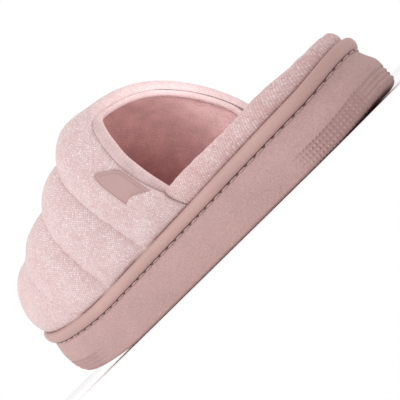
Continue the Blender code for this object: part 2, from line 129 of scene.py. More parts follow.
# Tread grooves: each family runs evenly from its first path to its last one, if it has more than one
GROOVE_WIDTH = 2.3
GROOVE_ROOT = 1.1
GROOVE_LIP = 0.2
TREAD_COLUMNS = 165
TREAD_STATIONS = 551
TREAD_BACK = 2.2
TREAD_MARGIN = 3.9
Family = namedtuple("Family", "count first last", defaults=(None,))
TREAD = (
    # nested corners of the forefoot, from the toe to the inner edge
    Family(7, ((-119, -8), (-113, -25), (-46, -31), (-43, -38), (-36, -46)),
           ((-87, 37), (-75, 8), (-17, 8.5), (-7, -30), (3, -40))),
    # edge of the plain band across the ball
    Family(1, ((-20, 50), (-12, 10), (-3, -24), (1, -32), (9, -39))),
    # outer forefoot, across
    Family(7, ((-58, 13), (-63, 22)), ((-20.5, 15), (-30, 50))),
    # outer forefoot, lengthwise
    Family(4, ((-66, 14), (-71, 15)), ((-60, 39), (-83, 38))),
    # waist, lengthwise
    Family(6, ((5, -28), (60, -31)), ((-5.5, 3), (50, 0.5))),
    # outer waist, diagonal
    Family(4, ((-5.5, 13), (15, 41)), ((10.5, 7), (36.5, 38))),
    Family(5, ((17, 7), (38.5, 32)), ((44, 6), (47.5, 10))),
    # outer waist, lengthwise
    Family(5, ((51, 10), (55, 10)), ((43, 33), (73, 33))),
    # heel, diagonal
    Family(3, ((53, 1.5), (84, 35)), ((56.7, -10.7), (96.5, 29.5))),
    Family(2, ((58.8, -16.5), (99.6, 24.3)), ((60.6, -23), (102, 19.8))),
    Family(3, ((66, -32), (70.5, -21.5), (103.5, 14)), ((81, -31), (85.5, -21), (107.5, 2.2))),
    # heel, back edge
    Family(5, ((103.4, 22.9), (124.6, 12.6)), ((111.2, 0.6), (126.7, -7.4))),
    # heel, inner edge
    Family(2, ((92, -22.3), (107.5, -28.2)), ((96.7, -16.5), (116.5, -25))),
    Family(1, ((101.3, -11.3), (115.8, -17.3), (124.8, -12.3))),
    Family(1, ((106.3, -7.2), (112, -9.5), (116, -7))),
    # short bars of the plain field behind the ball
    Family(5, ((-12, 38), (-10, 38)), ((-9, 20), (-7, 20))),
    Family(4, ((-5, 38), (-3, 38)), ((-3.5, 24), (-1.5, 24))),
    Family(3, ((2, 38), (4, 38)), ((1, 30), (3, 30))),
)

# Strip round the top of the sole: distance outside the plan, height above its underside
STRIP_BASE = SOLE_HEIGHT + 0.3
STRIP_PROFILE = (WallRow(-4.8, 0.0), WallRow(0.0, 0.0), WallRow(1.2, 1.0), WallRow(1.7, 3.2),
                 WallRow(1.2, 5.5), WallRow(-0.4, 6.6), WallRow(-4.0, 6.5), WallRow(-4.8, 6.0))
STRIP_TOP = STRIP_BASE + 6.5
STRIP_SIDES = 40
STRIP_WAVE = 0.12
STRIP_WAVES = ((37.0, 0.2), (61.0, 1.3))
STRIP_INSIDE = -1.0

# Stitches in the groove under the strip
STITCH_GROW = -0.6
STITCH_HEIGHT = 22.0
STITCH_BOW = 0.3
STITCH_BLUNT = 6
STITCH_RINGS = 11
STITCH_SIDES = 8
HOLE_REACH = 0.75
HOLE_RADIUS = 0.42
HOLE_RINGS = 7

# Quilted vamp
SKIRT_GROW = -5.1
SKIRT_TOP = STRIP_TOP + 0.2
ARCH_GROW = -2.6
ARCH_BASE = STRIP_TOP - 0.15
UPPER_WALL = 3.0
KNIT_DEPTH = 1.2
LINING_GAP = 0.2
TOE_DOME = 0.13
CrownRow = namedtuple("CrownRow", "share crown ridge inner_full outer_full")
CROWN = (
    CrownRow(0.00, 32.0, 0.0, 2.3, 2.2),
    CrownRow(0.10, 39.8, -5.0, 2.35, 2.15),
    CrownRow(0.20, 47.6, -9.0, 2.4, 2.1),
    CrownRow(0.30, 56.2, -12.0, 2.43, 2.0),
    CrownRow(0.40, 63.2, -15.0, 2.5, 2.1),
    CrownRow(0.50, 69.3, -18.0, 2.6, 2.35),
    CrownRow(0.58, 65.8, -19.0, 2.4, 2.6),
    CrownRow(0.68, 64.0, -19.0, 2.4, 2.7),
)
SeamRow = namedtuple("SeamRow", "strip quarter half high crown")
SEAM_HEIGHTS = (0.0, 0.25, 0.5, 0.75, 1.0)
SEAMS = (
    SeamRow(-72.0, -78.0, -84.0, -90.0, -96.0),
    SeamRow(-39.0, -43.0, -46.5, -50.5, -55.0),
    SeamRow(-3.5, -8.0, -12.8, -17.5, -22.5),
    SeamRow(35.0, 28.0, 22.3, 20.5, 20.0),
)
COLLAR = SEAMS[-1]
LAST = len(SEAMS) - 1
# Collar edge on the outer side, which stands farther back
COLLAR_OUTER = SeamRow(43.0, 39.0, 33.0, 26.0, 20.0)
PUFF_ROWS = 44
LINING_ROWS = 16
PUFF_ROUND = 0.70
COLLAR_PUFF = 3.8
COLLAR_ROUND = 0.06
COLLAR_EDGE = 2.2
COLLAR_PACK = 1.5
SHOULDER_DROP = 3.0
SHOULDER_ROUND = 0.055
SHOULDER_TURN = (0.95, 1.5)
SHOULDER_REACH = 2.5
SHOULDER_HEM = 0.6
PUFF_FADE = 14.0
VAMP_COLUMNS = 221
LINING_COLUMNS = 121
COLUMN_PACK = 0.12
# Gathers beside the seams: waves along the seam that die away from it
GATHER_WAVES = ((7.3, 0.4), (11.9, 1.7), (4.7, 2.9))
GATHER_REACH = 7.0
GATHER_SLANT = 0.35
GATHER_BASE = 0.6
GATHER_SWING = 0.4
GATHER_DRIFT = ((53.0, 0.5), (29.0, 2.0))
# Creases: channel, place in the channel, place round the arch, half length, half width, depth, slant
CreaseRow = namedtuple("CreaseRow", "channel along around length width depth slant")
CREASES = (
    CreaseRow(0, 0.62, 0.16, 0.16, 0.05, 0.9, 0.10),
    CreaseRow(0, 0.78, 0.34, 0.12, 0.05, 0.6, -0.12),
    CreaseRow(0, 0.55, 0.66, 0.14, 0.05, 0.7, 0.08),
    CreaseRow(1, 0.45, 0.10, 0.30, 0.05, 0.8, 0.05),
    CreaseRow(1, 0.30, 0.30, 0.22, 0.04, 0.5, -0.06),
    CreaseRow(1, 0.55, 0.72, 0.26, 0.05, 0.7, 0.05),
    CreaseRow(2, 0.50, 0.08, 0.30, 0.05, 0.9, -0.05),
    CreaseRow(2, 0.70, 0.28, 0.20, 0.04, 0.5, 0.08),
    CreaseRow(2, 0.40, 0.80, 0.24, 0.05, 0.7, 0.06),
    CreaseRow(3, 0.40, 0.07, 0.26, 0.04, 0.8, 0.06),
    CreaseRow(3, 0.30, 0.55, 0.20, 0.05, 0.5, -0.05),
    CreaseRow(3, 0.55, 0.86, 0.24, 0.05, 0.7, 0.05),
)
# Fold under the patch: the knit below swells over the patch's lower end
TUCK_HEIGHT = 0.243
TUCK_BOW = 0.06
TUCK_FROM = 0.50
TUCK_RISE = 3.0
TUCK_REACH = 0.28
TUCK_LIP = (-0.032, 0.018)
TUCK_FALL = (0.05, 1.0)
TUCK_OPEN = (0.0, 0.15)
TUCK_CLOSE = (0.9, 1.0)
TUCK_LESS = 0.6

# Plush roll round the collar
ROLL_ACROSS = 3.3
ROLL_ALONG = 3.2
ROLL_SIDES = 40
ROLL_STATIONS = 320
ROLL_GAP = -1.0
ROLL_PRESS = 0.6
ROLL_INSET = 0.6
ROLL_SINK = 0.8
ROLL_OUTER = 0.58
ROLL_BASE = 8.6
ROLL_END = 3.0
ROLL_TAPER = 16.0
ROLL_THIN = 0.66
ROLL_TUCK = 2.2
ROLL_WAVES = ((19.0, 0.3), (31.0, 1.9))
ROLL_WAVE = 0.12

# Knit rim round the heel: distance outside the plan, height
RIM_PROFILE = (WallRow(-9.2, STRIP_BASE), WallRow(SKIRT_GROW, STRIP_BASE), WallRow(SKIRT_GROW, SKIRT_TOP),
               WallRow(-2.2, STRIP_TOP - 0.1), WallRow(-1.6, STRIP_TOP + 3.8), WallRow(-3.0, STRIP_TOP + 6.9),
               WallRow(-5.8, STRIP_TOP + 8.0), WallRow(-8.6, STRIP_TOP + 6.7), WallRow(-9.5, STRIP_TOP + 3.2))
# Towards the collar the rim grows taller and more upright, by these shares of its height, in two stretches:
# where along the foot each starts and is full, and its part of the whole
RIM_TALLER = 0.65
RIM_UPRIGHT = 0.3
RimTurn = namedtuple("RimTurn", "start full part")
RIM_TURNS = (RimTurn(132.0, 98.0, 0.62), RimTurn(84.0, 40.0, 0.38))
RIM_SIDES = 56
RIM_STATIONS = 380
RIM_GAP = 0.15
RIM_END = 3.0
RIM_CLOSE = 0.22
RIM_PLUSH = 0.70
RIM_WAVES = ((8.6, 0.0), (13.7, 1.1))
RIM_WAVE = 0.22
RIM_LIFT = 0.5
RIM_LOOSE = (STRIP_TOP - 1.0, STRIP_TOP + 2.0)

# Plush footbed
INSOLE_GROW = -9.8
INSOLE_BASE = SOLE_HEIGHT + 0.3
INSOLE_EDGE = 3.0
INSOLE_ROLL = 1.4
EDGE_MARGIN = (0.0, 2.6)
INSOLE_DISH = 0.6
DISH_MARGIN = (2.2, 9.0)
INSOLE_STATIONS = 301
INSOLE_COLUMNS = 110
# Worn hollows: place along the foot, place across, reach along and across, depth
HollowRow = namedtuple("HollowRow", "x y along across depth")
HOLLOWS = (HollowRow(98.0, 0.0, 24.0, 18.0, 1.1), HollowRow(-40.0, -2.0, 34.0, 28.0, 0.9))

# Patch on the inner side of the vamp: corners as shares of the last puff and of the arch's height
PatchRow = namedtuple("PatchRow", "front_along front_height back_along back_height")
PATCH_TOP = PatchRow(0.60, 0.59, 0.96, 0.52)
PATCH_FOOT = PatchRow(0.57, 0.24, 0.96, 0.225)
PATCH_TUCK = 0.025
PATCH_GAP = 0.25
PATCH_THICK = 1.1
PATCH_ROWS = 61
PATCH_CORNER = 6.0
PATCH_EDGE = 0.06
PATCH_LINE = 0.16
PATCH_LINE_WIDTH = 0.03
PATCH_LINE_DEPTH = 0.25
PATCH_SINK = 0.2

# Finishes: noise by the size of its lumps in metres, relief by its depth in metres
Noise = namedtuple("Noise", "size detail roughness", defaults=(2.0, 0.5))
Relief = namedtuple("Relief", "depth strength")
# Ranges that a pattern's values are taken from
WHOLE = (0.0, 1.0)
NARROW = (0.35, 0.65)
MIDDLE = (0.3, 0.7)
WIDE = (0.25, 0.75)
SPECULAR = 0.3
MATTE = 0.9
PINK_CUT = 0.90

# Knit: paleness of the loops, share and look of the metallic ones
KNIT_ROUGHNESS = 0.78
KNIT_CLOUD = Noise(0.012, 3.0)
KNIT_FUZZ = Noise(0.0011, 3.0, 0.7)
CELL_SHIFT = 0.5
LOOP_PALE = (0.25, 0.85)
PICK_PALE = (0.15, 1.0)
FUZZ_PALE = 0.22
CLOUD_PALE = 0.10
GROUND_PINK = 0.94
LOOP_LIGHT = 0.37
SPARK_PICK = 0.93
SPARK_LOOP = (0.55, 0.85)
SPARK_SHARE = (0.0, 0.75)
SPARK_METAL = 0.6
SPARK_ROUGHNESS = (0.80, 0.35)
LOOP_RELIEF = Relief(0.00035, 0.5)
FUZZ_RELIEF = Relief(0.0006, 0.35)
KNIT_SHEEN = (0.2, 0.45, (1.0, 0.93, 0.92, 1.0))
VAMP_FUZZ = 0.0
RIM_FUZZ = 0.08

# Plush: rows in millimetres, and the stretch in metres over which the lining's painted shade turns from dark
# deep inside to bright
Pile = namedtuple("Pile", "depth sheen")
LONG_PILE = Pile(0.0008, 0.1)
SHORT_PILE = Pile(0.0005, 0.35)
PLUSH_ROUGHNESS = 0.95
PLUSH_NAP = Noise(0.007)
PLUSH_ROW = 1.9
PLUSH_WANDER = 2.5
PLUSH_SHEEN = (0.5, (1.0, 0.88, 0.87, 1.0))
TUFT_NOISE = (3.0, 0.65)
TUFT_TONE = (0.84, 1.12)
TUFT_STRENGTH = 0.8
NAP_PATCHES = 120.0
ROW_TONE = 0.03
ROW_LIE = 0.12
LIE_RELIEF = Relief(0.0012, 0.3)
DEEP_SHADE_STRETCH = (-0.040, 0.020)

# Rubber of the wall and the tread
WALL_ROUGHNESS = 0.66
TREAD_ROUGHNESS = 0.68
RUBBER_SPAN = 0.06
RUBBER_DUST = Noise(0.0009, 3.0, 0.7)
RUBBER_MOTTLE = Noise(0.018, 3.0)
RUBBER_RELIEF = Relief(0.0003, 0.45)
MOTTLE_TONE = (0.95, 1.05)
DUST_TONE = 0.13
GRAIN_CELL = (0.0, 0.7)
GRAIN_TONE = (0.04, -0.05)
# Painted shade: the rubber turns darker and pinker where it is sunk, in rib valleys and tread grooves
SUNK_SHADE_FROM = (0.15, 1.0)
SUNK_SHADE_SHARE = (0.0, 0.75)
SUNK_SHADE_PINK = 0.70

# Strip, patch, thread, needle holes and floor
STRIP_ROUGHNESS = (0.50, 0.60)
STRIP_DRIFT = Noise(0.03)
STRIP_DUST = Noise(0.0006, 2.0, 0.6)
STRIP_TONE = (0.94, 1.05)
STRIP_SPECK = 0.03
STRIP_COAT = 0.06
STRIP_COAT_ROUGHNESS = 0.45
SOFT_RELIEF = Relief(0.0002, 0.35)
PATCH_ROUGHNESS = (0.52, 0.64)
PATCH_GRAIN = 0.0008
PATCH_DRIFT = Noise(0.01)
PATCH_TONE = (0.95, 1.05)
THREAD_ROUGHNESS = 0.5
THREAD_TWIST = 3.2
THREAD_CLIMB = 2.4
THREAD_TONE = (0.78, 1.08)
THREAD_SHEEN = 0.2
PLY_DEPTH = 0.2
PLY_STRENGTH = 0.6
# Needle holes: dark matte ellipsoids painted as the shade inside each hole
HOLE_SHADE_NOISE = Noise(0.0004)
HOLE_TONE = (0.8, 1.3)
FLOOR_CLOUD = Noise(0.6)
FLOOR_TONE = (0.99, 1.01)

# Studio: camera in millimetres and degrees, floor and lights in metres and watts
CAMERA_AZIMUTH = 43.12
CAMERA_ROLL = -45.0
CAMERA_HEIGHT = 6.0
CAMERA_DISTANCE = 573.3
CAMERA_TARGET = (3.0, 5.0, 29.0)
FOCAL_PIXELS = 1108.0
FRAME_PIXELS = 400.0
SENSOR = 36.0
CLIP_START = 0.01
FLOOR_HALF = 4.0
FLOOR_DROP = 0.0002
LightRow = namedtuple("LightRow", "name left toward up size power")
LIGHTS = (
    LightRow("key", 0.60, 0.20, 0.40, 0.5, 1.8),
    LightRow("heel", -0.062, 0.058, 0.080, 0.05, 0.024),
    LightRow("inside", -0.036, 0.028, 0.070, 0.04, 0.0066),
)
LIGHT_AIM = (-0.05, 0.01, 0.045)
SKY_STRENGTH = 1.0


# Sizes and colours that a user would change
def metres(name, words, default):
    """Length property in metres with its name, description and default."""
    return FloatProperty(name=name, description=words, default=default, unit="LENGTH")


class SlipperSizes(bpy.types.PropertyGroup):
    puff: metres("Puff", "Height of a quilted puff over its seams", 0.0047)
    gather: metres("Gather", "Height of the gathers beside the seams", 0.00065)
    groove: metres("Groove", "Depth of a tread groove", 0.0014)
    stitch_pitch: metres("Stitch pitch", "Distance from stitch to stitch", 0.0067)
    stitch_length: metres("Stitch length", "Length of thread that shows", 0.0056)
    thread: metres("Thread", "Thickness of the stitching thread", 0.0009)
    knit_pitch: metres("Knit pitch", "Width of one knit stitch", 0.0011)
    nap: metres("Nap", "Size of a tuft of plush", 0.0009)
    grain: metres("Grain", "Size of the rubber's grain", 0.0007)


def colour(name, words, default):
    """Colour property with its name, description and default."""
    return FloatVectorProperty(name=name, description=words, default=default, subtype="COLOR",
                               min=0.0, max=1.0)


class SlipperColours(bpy.types.PropertyGroup):
    knit: colour("Knit", "Knit of the vamp", (0.615, 0.475, 0.47))
    rim: colour("Rim", "Knit of the heel rim", (0.60, 0.418, 0.41))
    shimmer: colour("Shimmer", "Metallic thread in the knit", (0.80, 0.74, 0.74))
    plush: colour("Plush", "Plush roll round the collar", (0.60, 0.445, 0.44))
    # Lining and inside are the lit and the shaded ends of painted shade on the vamp's lining
    lining: colour("Lining", "Plush lining of the vamp", (1.0, 0.74, 0.73))
    inside: colour("Inside", "Plush lining deep inside the toe", (0.62, 0.31, 0.30))
    footbed: colour("Footbed", "Plush of the footbed and inside the rim", (0.70, 0.43, 0.42))
    wall: colour("Wall", "Rubber of the sole's wall", (0.475, 0.305, 0.29))
    tread: colour("Tread", "Rubber of the tread", (0.42, 0.265, 0.24))
    strip: colour("Strip", "Strip round the top of the sole", (0.475, 0.298, 0.274))
    patch: colour("Patch", "Bare patch on the vamp", (0.43, 0.275, 0.266))
    thread: colour("Thread", "Stitching thread", (0.46, 0.31, 0.295))
    # Painted shade: the needle holes' colour is the dark of the shadow in each hole
    hole_shade: colour("Hole", "Needle holes", (0.17, 0.095, 0.085))
    floor: colour("Floor", "Floor of the studio", (0.90, 0.90, 0.90))


# Curves, grids and meshes
def mix(first, second, share):
    """First value at share 0, second at share 1, and an even change between."""
    return first * (1.0 - share) + second * share


def smooth(stations, values, at):
    """Cubic curve through table rows, each slope taken from the neighbouring rows."""
    stations = np.asarray(stations, float)
    values = np.asarray(values, float)
    slopes = np.gradient(values, stations)
    row = np.clip(np.searchsorted(stations, at) - 1, 0, len(stations) - 2)
    span = stations[row + 1] - stations[row]
    t = np.clip((at - stations[row]) / span, 0.0, 1.0)
    blend = t * t * (3.0 - 2.0 * t)
    rise_in = t * (1.0 - t) ** 2 * span * slopes[row]
    rise_out = t * t * (1.0 - t) * span * slopes[row + 1]
    return mix(values[row], values[row + 1], blend) + rise_in - rise_out


def ease(low, high, at):
    """Smooth step from 0 at low to 1 at high."""
    t = np.clip((at - low) / (high - low), 0.0, 1.0)
    return t * t * (3.0 - 2.0 * t)


def column(table, name):
    """Values of one column of a table."""
    return [getattr(row, name) for row in table]


def curve(table, name, share):
    """Smooth curve through one column of a table, read at shares of the length."""
    return smooth(column(table, "share"), column(table, name), share)


def round_end(share, length):
    """Quarter ellipse that closes an end within the given share of the length."""
    left = np.clip(1.0 - share / length, 0.0, 1.0)
    return np.sqrt(np.clip(1.0 - left * left, 0.0, None))


def half_widths(share, grow):
    """Half widths of the plan to the inner and outer side, widened by grow."""
    ends = round_end(share, TOE_ROUND) * round_end(1.0 - share, HEEL_ROUND)
    return [(curve(SOLE_PLAN, side, share) + grow) * ends for side in ("inner", "outer")]


def plan_x(share, grow):
    """Place along the foot for a share of the plan's length, 0 at the toe and 1 at the heel."""
    return HEEL_X + grow - (1.0 - share) * (LENGTH + 2.0 * grow)


def share_of(x, grow=0.0):
    """Share of the plan's length for a place along the foot."""
    return 1.0 - (HEEL_X + grow - x) / (LENGTH + 2.0 * grow)


def rise(x):
    """Height of the underside: a parabola up to the toe and a short one up to the heel's edge."""
    toe = np.clip((SPRING_START - x) / (LENGTH - HEEL_X + SPRING_START), 0.0, None)
    heel = np.clip((x - HEEL_LIFT_START) / (HEEL_X - HEEL_LIFT_START), 0.0, None)
    return TOE_SPRING * toe ** 2 + HEEL_LIFT * heel ** 2


def stack(x, y, z):
    """Points from their coordinates, which are spread to one shape first."""
    return np.stack(np.broadcast_arrays(x, y, z), axis=-1)


def unit(vectors):
    """Vectors divided by their lengths."""
    return vectors / np.linalg.norm(vectors, axis=-1, keepdims=True)


def plan_points(share, inner_side, grow, height):
    """Points of the plan on one side or the other, at a height above the underside."""
    inner, outer = half_widths(share, grow)
    x = plan_x(share, grow)
    return stack(x, np.where(inner_side, -inner, outer), rise(x) + height)


def packed_shares(count):
    """Shares from 0 to 1 in even steps that shrink towards both ends, so that round ends get even edges."""
    t = np.linspace(0.0, 1.0, count)
    pace = 1.0 / (1.0 - END_RAMP)
    low = pace * t ** 2 / (2.0 * END_RAMP)
    high = 1.0 - pace * (1.0 - t) ** 2 / (2.0 * END_RAMP)
    return np.select((t < END_RAMP, t > 1.0 - END_RAMP), (low, high), pace * (t - END_RAMP / 2.0))


def there_and_back(values):
    """Values forwards and then backwards, with the last one only once."""
    return np.concatenate((values, values[-2::-1]))


def inner_first(count):
    """Which stations of a ring lie on the inner side, where each side has the given count."""
    return np.arange(2 * count - 1) < count


def ring(count):
    """Shares and sides once round the plan: toe, inner side, heel, outer side and the toe again."""
    return there_and_back(packed_shares(count)), inner_first(count)


def run_along(points, axis):
    """Distance along the rows or columns of a grid of points, from its first one."""
    steps = np.linalg.norm(np.diff(points, axis=axis), axis=-1)
    zero = np.zeros_like(np.take(steps, [0], axis=axis))
    return np.concatenate((zero, np.cumsum(steps, axis=axis)), axis=axis)


def grid_map(points):
    """Flat map of a grid in millimetres: distance along its columns and along its rows."""
    return np.stack((run_along(points, 1), run_along(points, 0)), axis=-1)


def ripple(run, waves):
    """Sum of sines along a run, each wave given by its length and phase, between -1 and 1."""
    return sum(np.sin(math.tau * run / pitch + phase) for pitch, phase in waves) / len(waves)


def crest(run, pitch):
    """Cosine wave along a run, between 0 and 1."""
    return 0.5 + 0.5 * np.cos(run * math.tau / pitch)


def rounded_profile(rows, count):
    """Closed profile through table rows, evenly spaced, each point softened by its neighbours' mean."""
    corners = np.array(rows + rows[:1], float)
    run = run_along(corners, 0)
    at = np.linspace(0.0, run[-1], count, endpoint=False)
    points = np.column_stack([np.interp(at, run, corners[:, k]) for k in range(2)])
    for _ in range(SOFTENINGS):
        points = (np.roll(points, 1, axis=0) + 2.0 * points + np.roll(points, -1, axis=0)) / 4.0
    return np.vstack((points, points[:1]))


Grid = namedtuple("Grid", "points flat finish", defaults=(None, 0))


def band(first, second):
    """Two-row grid between matching edges."""
    return Grid(np.stack((first, second)))


def field_over_plan(share, grow, columns):
    """Grid of places over the plan, from its inner to its outer edge, and their distances from the edge."""
    inner, outer = half_widths(share, grow)
    y = mix(-inner, outer, np.linspace(0.0, 1.0, columns)[:, None])
    return np.broadcast_to(plan_x(share, grow), y.shape), y, np.minimum(y + inner, outer - y)


def pad_grids(x, y, top, base):
    """Grids of a closed pad: its face, its two sides and its flat underside."""
    face = stack(x, y, rise(x) + top)
    low = [stack(x[k], y[k], rise(x[k]) + base) for k in (0, -1)]
    return [Grid(face), band(face[0], low[0]), band(face[-1], low[1]), band(*low)]


def grid_faces(rows, columns, start):
    """Quads between neighbouring rows and columns of a grid whose points are numbered from start."""
    number = start + np.arange(rows * columns).reshape(rows, columns)
    quads = (number[:-1, :-1], number[:-1, 1:], number[1:, 1:], number[1:, :-1])
    return np.stack(quads, axis=-1).reshape(-1, 4)


def put_in_scene(name, data):
    """New object with the given data, linked to the scene."""
    made = bpy.data.objects.new(name, data)
    bpy.context.scene.collection.objects.link(made)
    return made


def add_piece(name, grids, materials, stands_for=(), marks=None):
    """Closed mesh from grids of points in millimetres, merged where they meet and facing outwards."""
    points = np.concatenate([grid.points.reshape(-1, 3) for grid in grids])
    flats = [grid_map(grid.points) if grid.flat is None else grid.flat for grid in grids]
    flat = np.concatenate([part.reshape(-1, 2) for part in flats])
    faces = []
    finish = []
    start = 0
    for grid in grids:
        rows, columns = grid.points.shape[:2]
        faces.append(grid_faces(rows, columns, start))
        finish.append(np.full(len(faces[-1]), grid.finish))
        start += rows * columns
    faces = np.concatenate(faces)
    mesh = bpy.data.meshes.new(name)
    mesh.vertices.add(len(points))
    mesh.vertices.foreach_set("co", ((points - BOX_MIDDLE) * MM).ravel())
    mesh.loops.add(faces.size)
    mesh.loops.foreach_set("vertex_index", faces.ravel())
    mesh.polygons.add(len(faces))
    mesh.polygons.foreach_set("loop_start", np.arange(len(faces)) * 4)
    mesh.polygons.foreach_set("material_index", np.concatenate(finish))
    mesh.update(calc_edges=True)
    mesh.uv_layers.new(name="flat").data.foreach_set("uv", flat[faces.ravel()].ravel())
    for mark, values in (marks or {}).items():
        mesh.attributes.new(mark, "FLOAT", "POINT").data.foreach_set("value", values.ravel())
    work = bmesh.new()
    work.from_mesh(mesh)
    bmesh.ops.remove_doubles(work, verts=work.verts, dist=MERGE * MM)
    bmesh.ops.recalc_face_normals(work, faces=work.faces)
    work.to_mesh(mesh)
    work.free()
    mesh.shade_smooth()
    mesh.set_sharp_from_angle(angle=math.radians(SHARP_DEGREES))
    for material in materials:
        mesh.materials.append(material)
    piece = put_in_scene(name, mesh)
    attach(piece, BODY)
    if stands_for:
        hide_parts(*stands_for)
    return piece


# Finishes
class Finish:
    """Material with one Principled shader and short calls for the nodes that feed it."""

    def __init__(self, name, roughness):
        self.material = bpy.data.materials.new(name)
        self.material.use_nodes = True
        self.tree = self.material.node_tree
        self.shader = self.tree.nodes["Principled BSDF"]
        self.set("Roughness", roughness)
        self.set("Specular IOR Level", SPECULAR)

    def set(self, socket, value):
        """Plain setting of the shader."""
        self.shader.inputs[socket].default_value = value

    def feed(self, socket, source):
        """Link from a node's output to the shader."""
        self.tree.links.new(source, self.shader.inputs[socket])

    def node(self, kind, inputs, **settings):
        """Outputs of a new node. Its inputs, by name or number, are values or other nodes' outputs."""
        made = self.tree.nodes.new(kind)
        for name, value in settings.items():
            setattr(made, name, value)
        for key, value in inputs.items():
            if isinstance(value, bpy.types.NodeSocket):
                self.tree.links.new(value, made.inputs[key])
            else:
                made.inputs[key].default_value = value
        return made.outputs

    def sum(self, operation, *values):
        """Math node on up to three values."""
        return self.node("ShaderNodeMath", dict(enumerate(values)), operation=operation)[0]

    def upward(self, value):
        """Value between -1 and 1 brought to between 0 and 1."""
        return self.sum("MULTIPLY_ADD", value, 0.5, 0.5)

    def wave(self, value, pitch):
        """Sine along a value in millimetres, with the given pitch."""
        return self.sum("SINE", self.sum("MULTIPLY", value, math.tau / pitch))

    def place(self):
        """Object coordinates."""
        return self.node("ShaderNodeTexCoord", {})["Object"]

    def flat(self):
        """Across and along values of the flat map, in millimetres."""
        where = self.node("ShaderNodeUVMap", {}, uv_map="flat")[0]
        return self.node("ShaderNodeSeparateXYZ", {"Vector": where})[:2]

    def mark(self, name):
        """Value of a mark on the mesh."""
        return self.node("ShaderNodeAttribute", {}, attribute_name=name)["Fac"]

    def noise(self, size, detail, roughness):
        """Cloudy noise whose lumps have the given size in metres."""
        inputs = {"Vector": self.place(), "Scale": 1.0 / size, "Detail": detail, "Roughness": roughness}
        return self.node("ShaderNodeTexNoise", inputs)[0]

    def cells(self, size):
        """Cell pattern: distance to the nearest of scattered points."""
        return self.node("ShaderNodeTexVoronoi", {"Vector": self.place(), "Scale": 1.0 / size})["Distance"]

    def ramp(self, value, taken, given=WHOLE):
        """Value spread from one range to another and kept inside it."""
        return self.node("ShaderNodeMapRange", dict(enumerate((value, *taken, *given))))[0]

    def swing(self, value, taken, amount):
        """Value spread from a range to as much below zero as above it."""
        return self.ramp(value, taken, (-amount, amount))

    def blend(self, share, first, second):
        """Mix of two colours by a share: the node takes the share at input 0 and the colours at 6 and 7."""
        return self.node("ShaderNodeMix", {0: share, 6: first, 7: second}, data_type="RGBA")[2]

    def shade(self, tint, share):
        """Colour darkened or lightened by a factor that varies over the surface."""
        plain = tint if isinstance(tint, bpy.types.NodeSocket) else tint[:3]
        return self.node("ShaderNodeVectorMath", {0: plain, "Scale": share}, operation="SCALE")[0]

    def bump(self, height, relief, under=None):
        """Bump of a pattern's height, laid over the one under it if there is one."""
        inputs = {"Height": height, "Distance": relief.depth, "Strength": relief.strength}
        if under is not None:
            inputs["Normal"] = under
        return self.node("ShaderNodeBump", inputs)[0]

    def sheen(self, weight, roughness, tint):
        """Soft gleam of fibres at grazing angles."""
        self.set("Sheen Weight", weight)
        self.set("Sheen Roughness", roughness)
        self.set("Sheen Tint", tint)


def four(tint):
    """Tint with its opacity, which is full."""
    return (tint[0], tint[1], tint[2], 1.0)


def pinker(tint, share):
    """Tint cut to a share, its green and blue more than its red."""
    return (tint[0] * share, tint[1] * share * PINK_CUT, tint[2] * share * PINK_CUT, 1.0)


def lighter(tint, share):
    """Tint brought nearer to white by a share."""
    return tuple(part + (1.0 - part) * share for part in tint) + (1.0,)


def knit_finish(name, sizes, tint, shimmer, fuzzier):
    """Bird's-eye knit: pale loops on a pinker ground, each with its own shade, and a few of metallic thread.

    The loops' height is the product of a sine across and a sine along the flat map, which sets them on
    the diagonal. Each loop takes one random value from the diagonal cell that it stands in.
    """
    made = Finish(name, KNIT_ROUGHNESS)
    across, along = made.flat()
    pitch = sizes.knit_pitch / MM * math.sqrt(2.0)
    loop = made.upward(made.sum("MULTIPLY", made.wave(across, pitch), made.wave(along, pitch)))
    rising = made.sum("DIVIDE", made.sum("ADD", across, along), pitch)
    falling = made.sum("DIVIDE", made.sum("SUBTRACT", across, along), pitch)
    falling = made.sum("ADD", falling, CELL_SHIFT)
    corner = {"X": made.sum("FLOOR", rising), "Y": made.sum("FLOOR", falling)}
    cell = made.node("ShaderNodeCombineXYZ", corner)[0]
    pick = made.node("ShaderNodeTexWhiteNoise", {"Vector": cell})[0]
    cloud = made.noise(*KNIT_CLOUD)
    fuzz = made.noise(*KNIT_FUZZ)
    pale = made.sum("MULTIPLY", made.ramp(loop, LOOP_PALE), made.ramp(pick, WHOLE, PICK_PALE))
    pale = made.sum("ADD", pale, made.swing(fuzz, MIDDLE, FUZZ_PALE + fuzzier))
    pale = made.sum("ADD", pale, made.swing(cloud, NARROW, CLOUD_PALE))
    ground = made.blend(made.ramp(pale, WHOLE), pinker(tint, GROUND_PINK), lighter(tint, LOOP_LIGHT))
    metallic = made.sum("GREATER_THAN", pick, SPARK_PICK)
    spark = made.sum("MULTIPLY", metallic, made.ramp(loop, SPARK_LOOP, SPARK_SHARE))
    made.feed("Base Color", made.blend(spark, ground, four(shimmer)))
    made.feed("Metallic", made.sum("MULTIPLY", spark, SPARK_METAL))
    made.feed("Roughness", made.ramp(spark, WHOLE, SPARK_ROUGHNESS))
    loops = made.bump(loop, Relief(LOOP_RELIEF.depth, LOOP_RELIEF.strength + fuzzier))
    made.feed("Normal", made.bump(fuzz, FUZZ_RELIEF, loops))
    made.sheen(*KNIT_SHEEN)
    return made.material


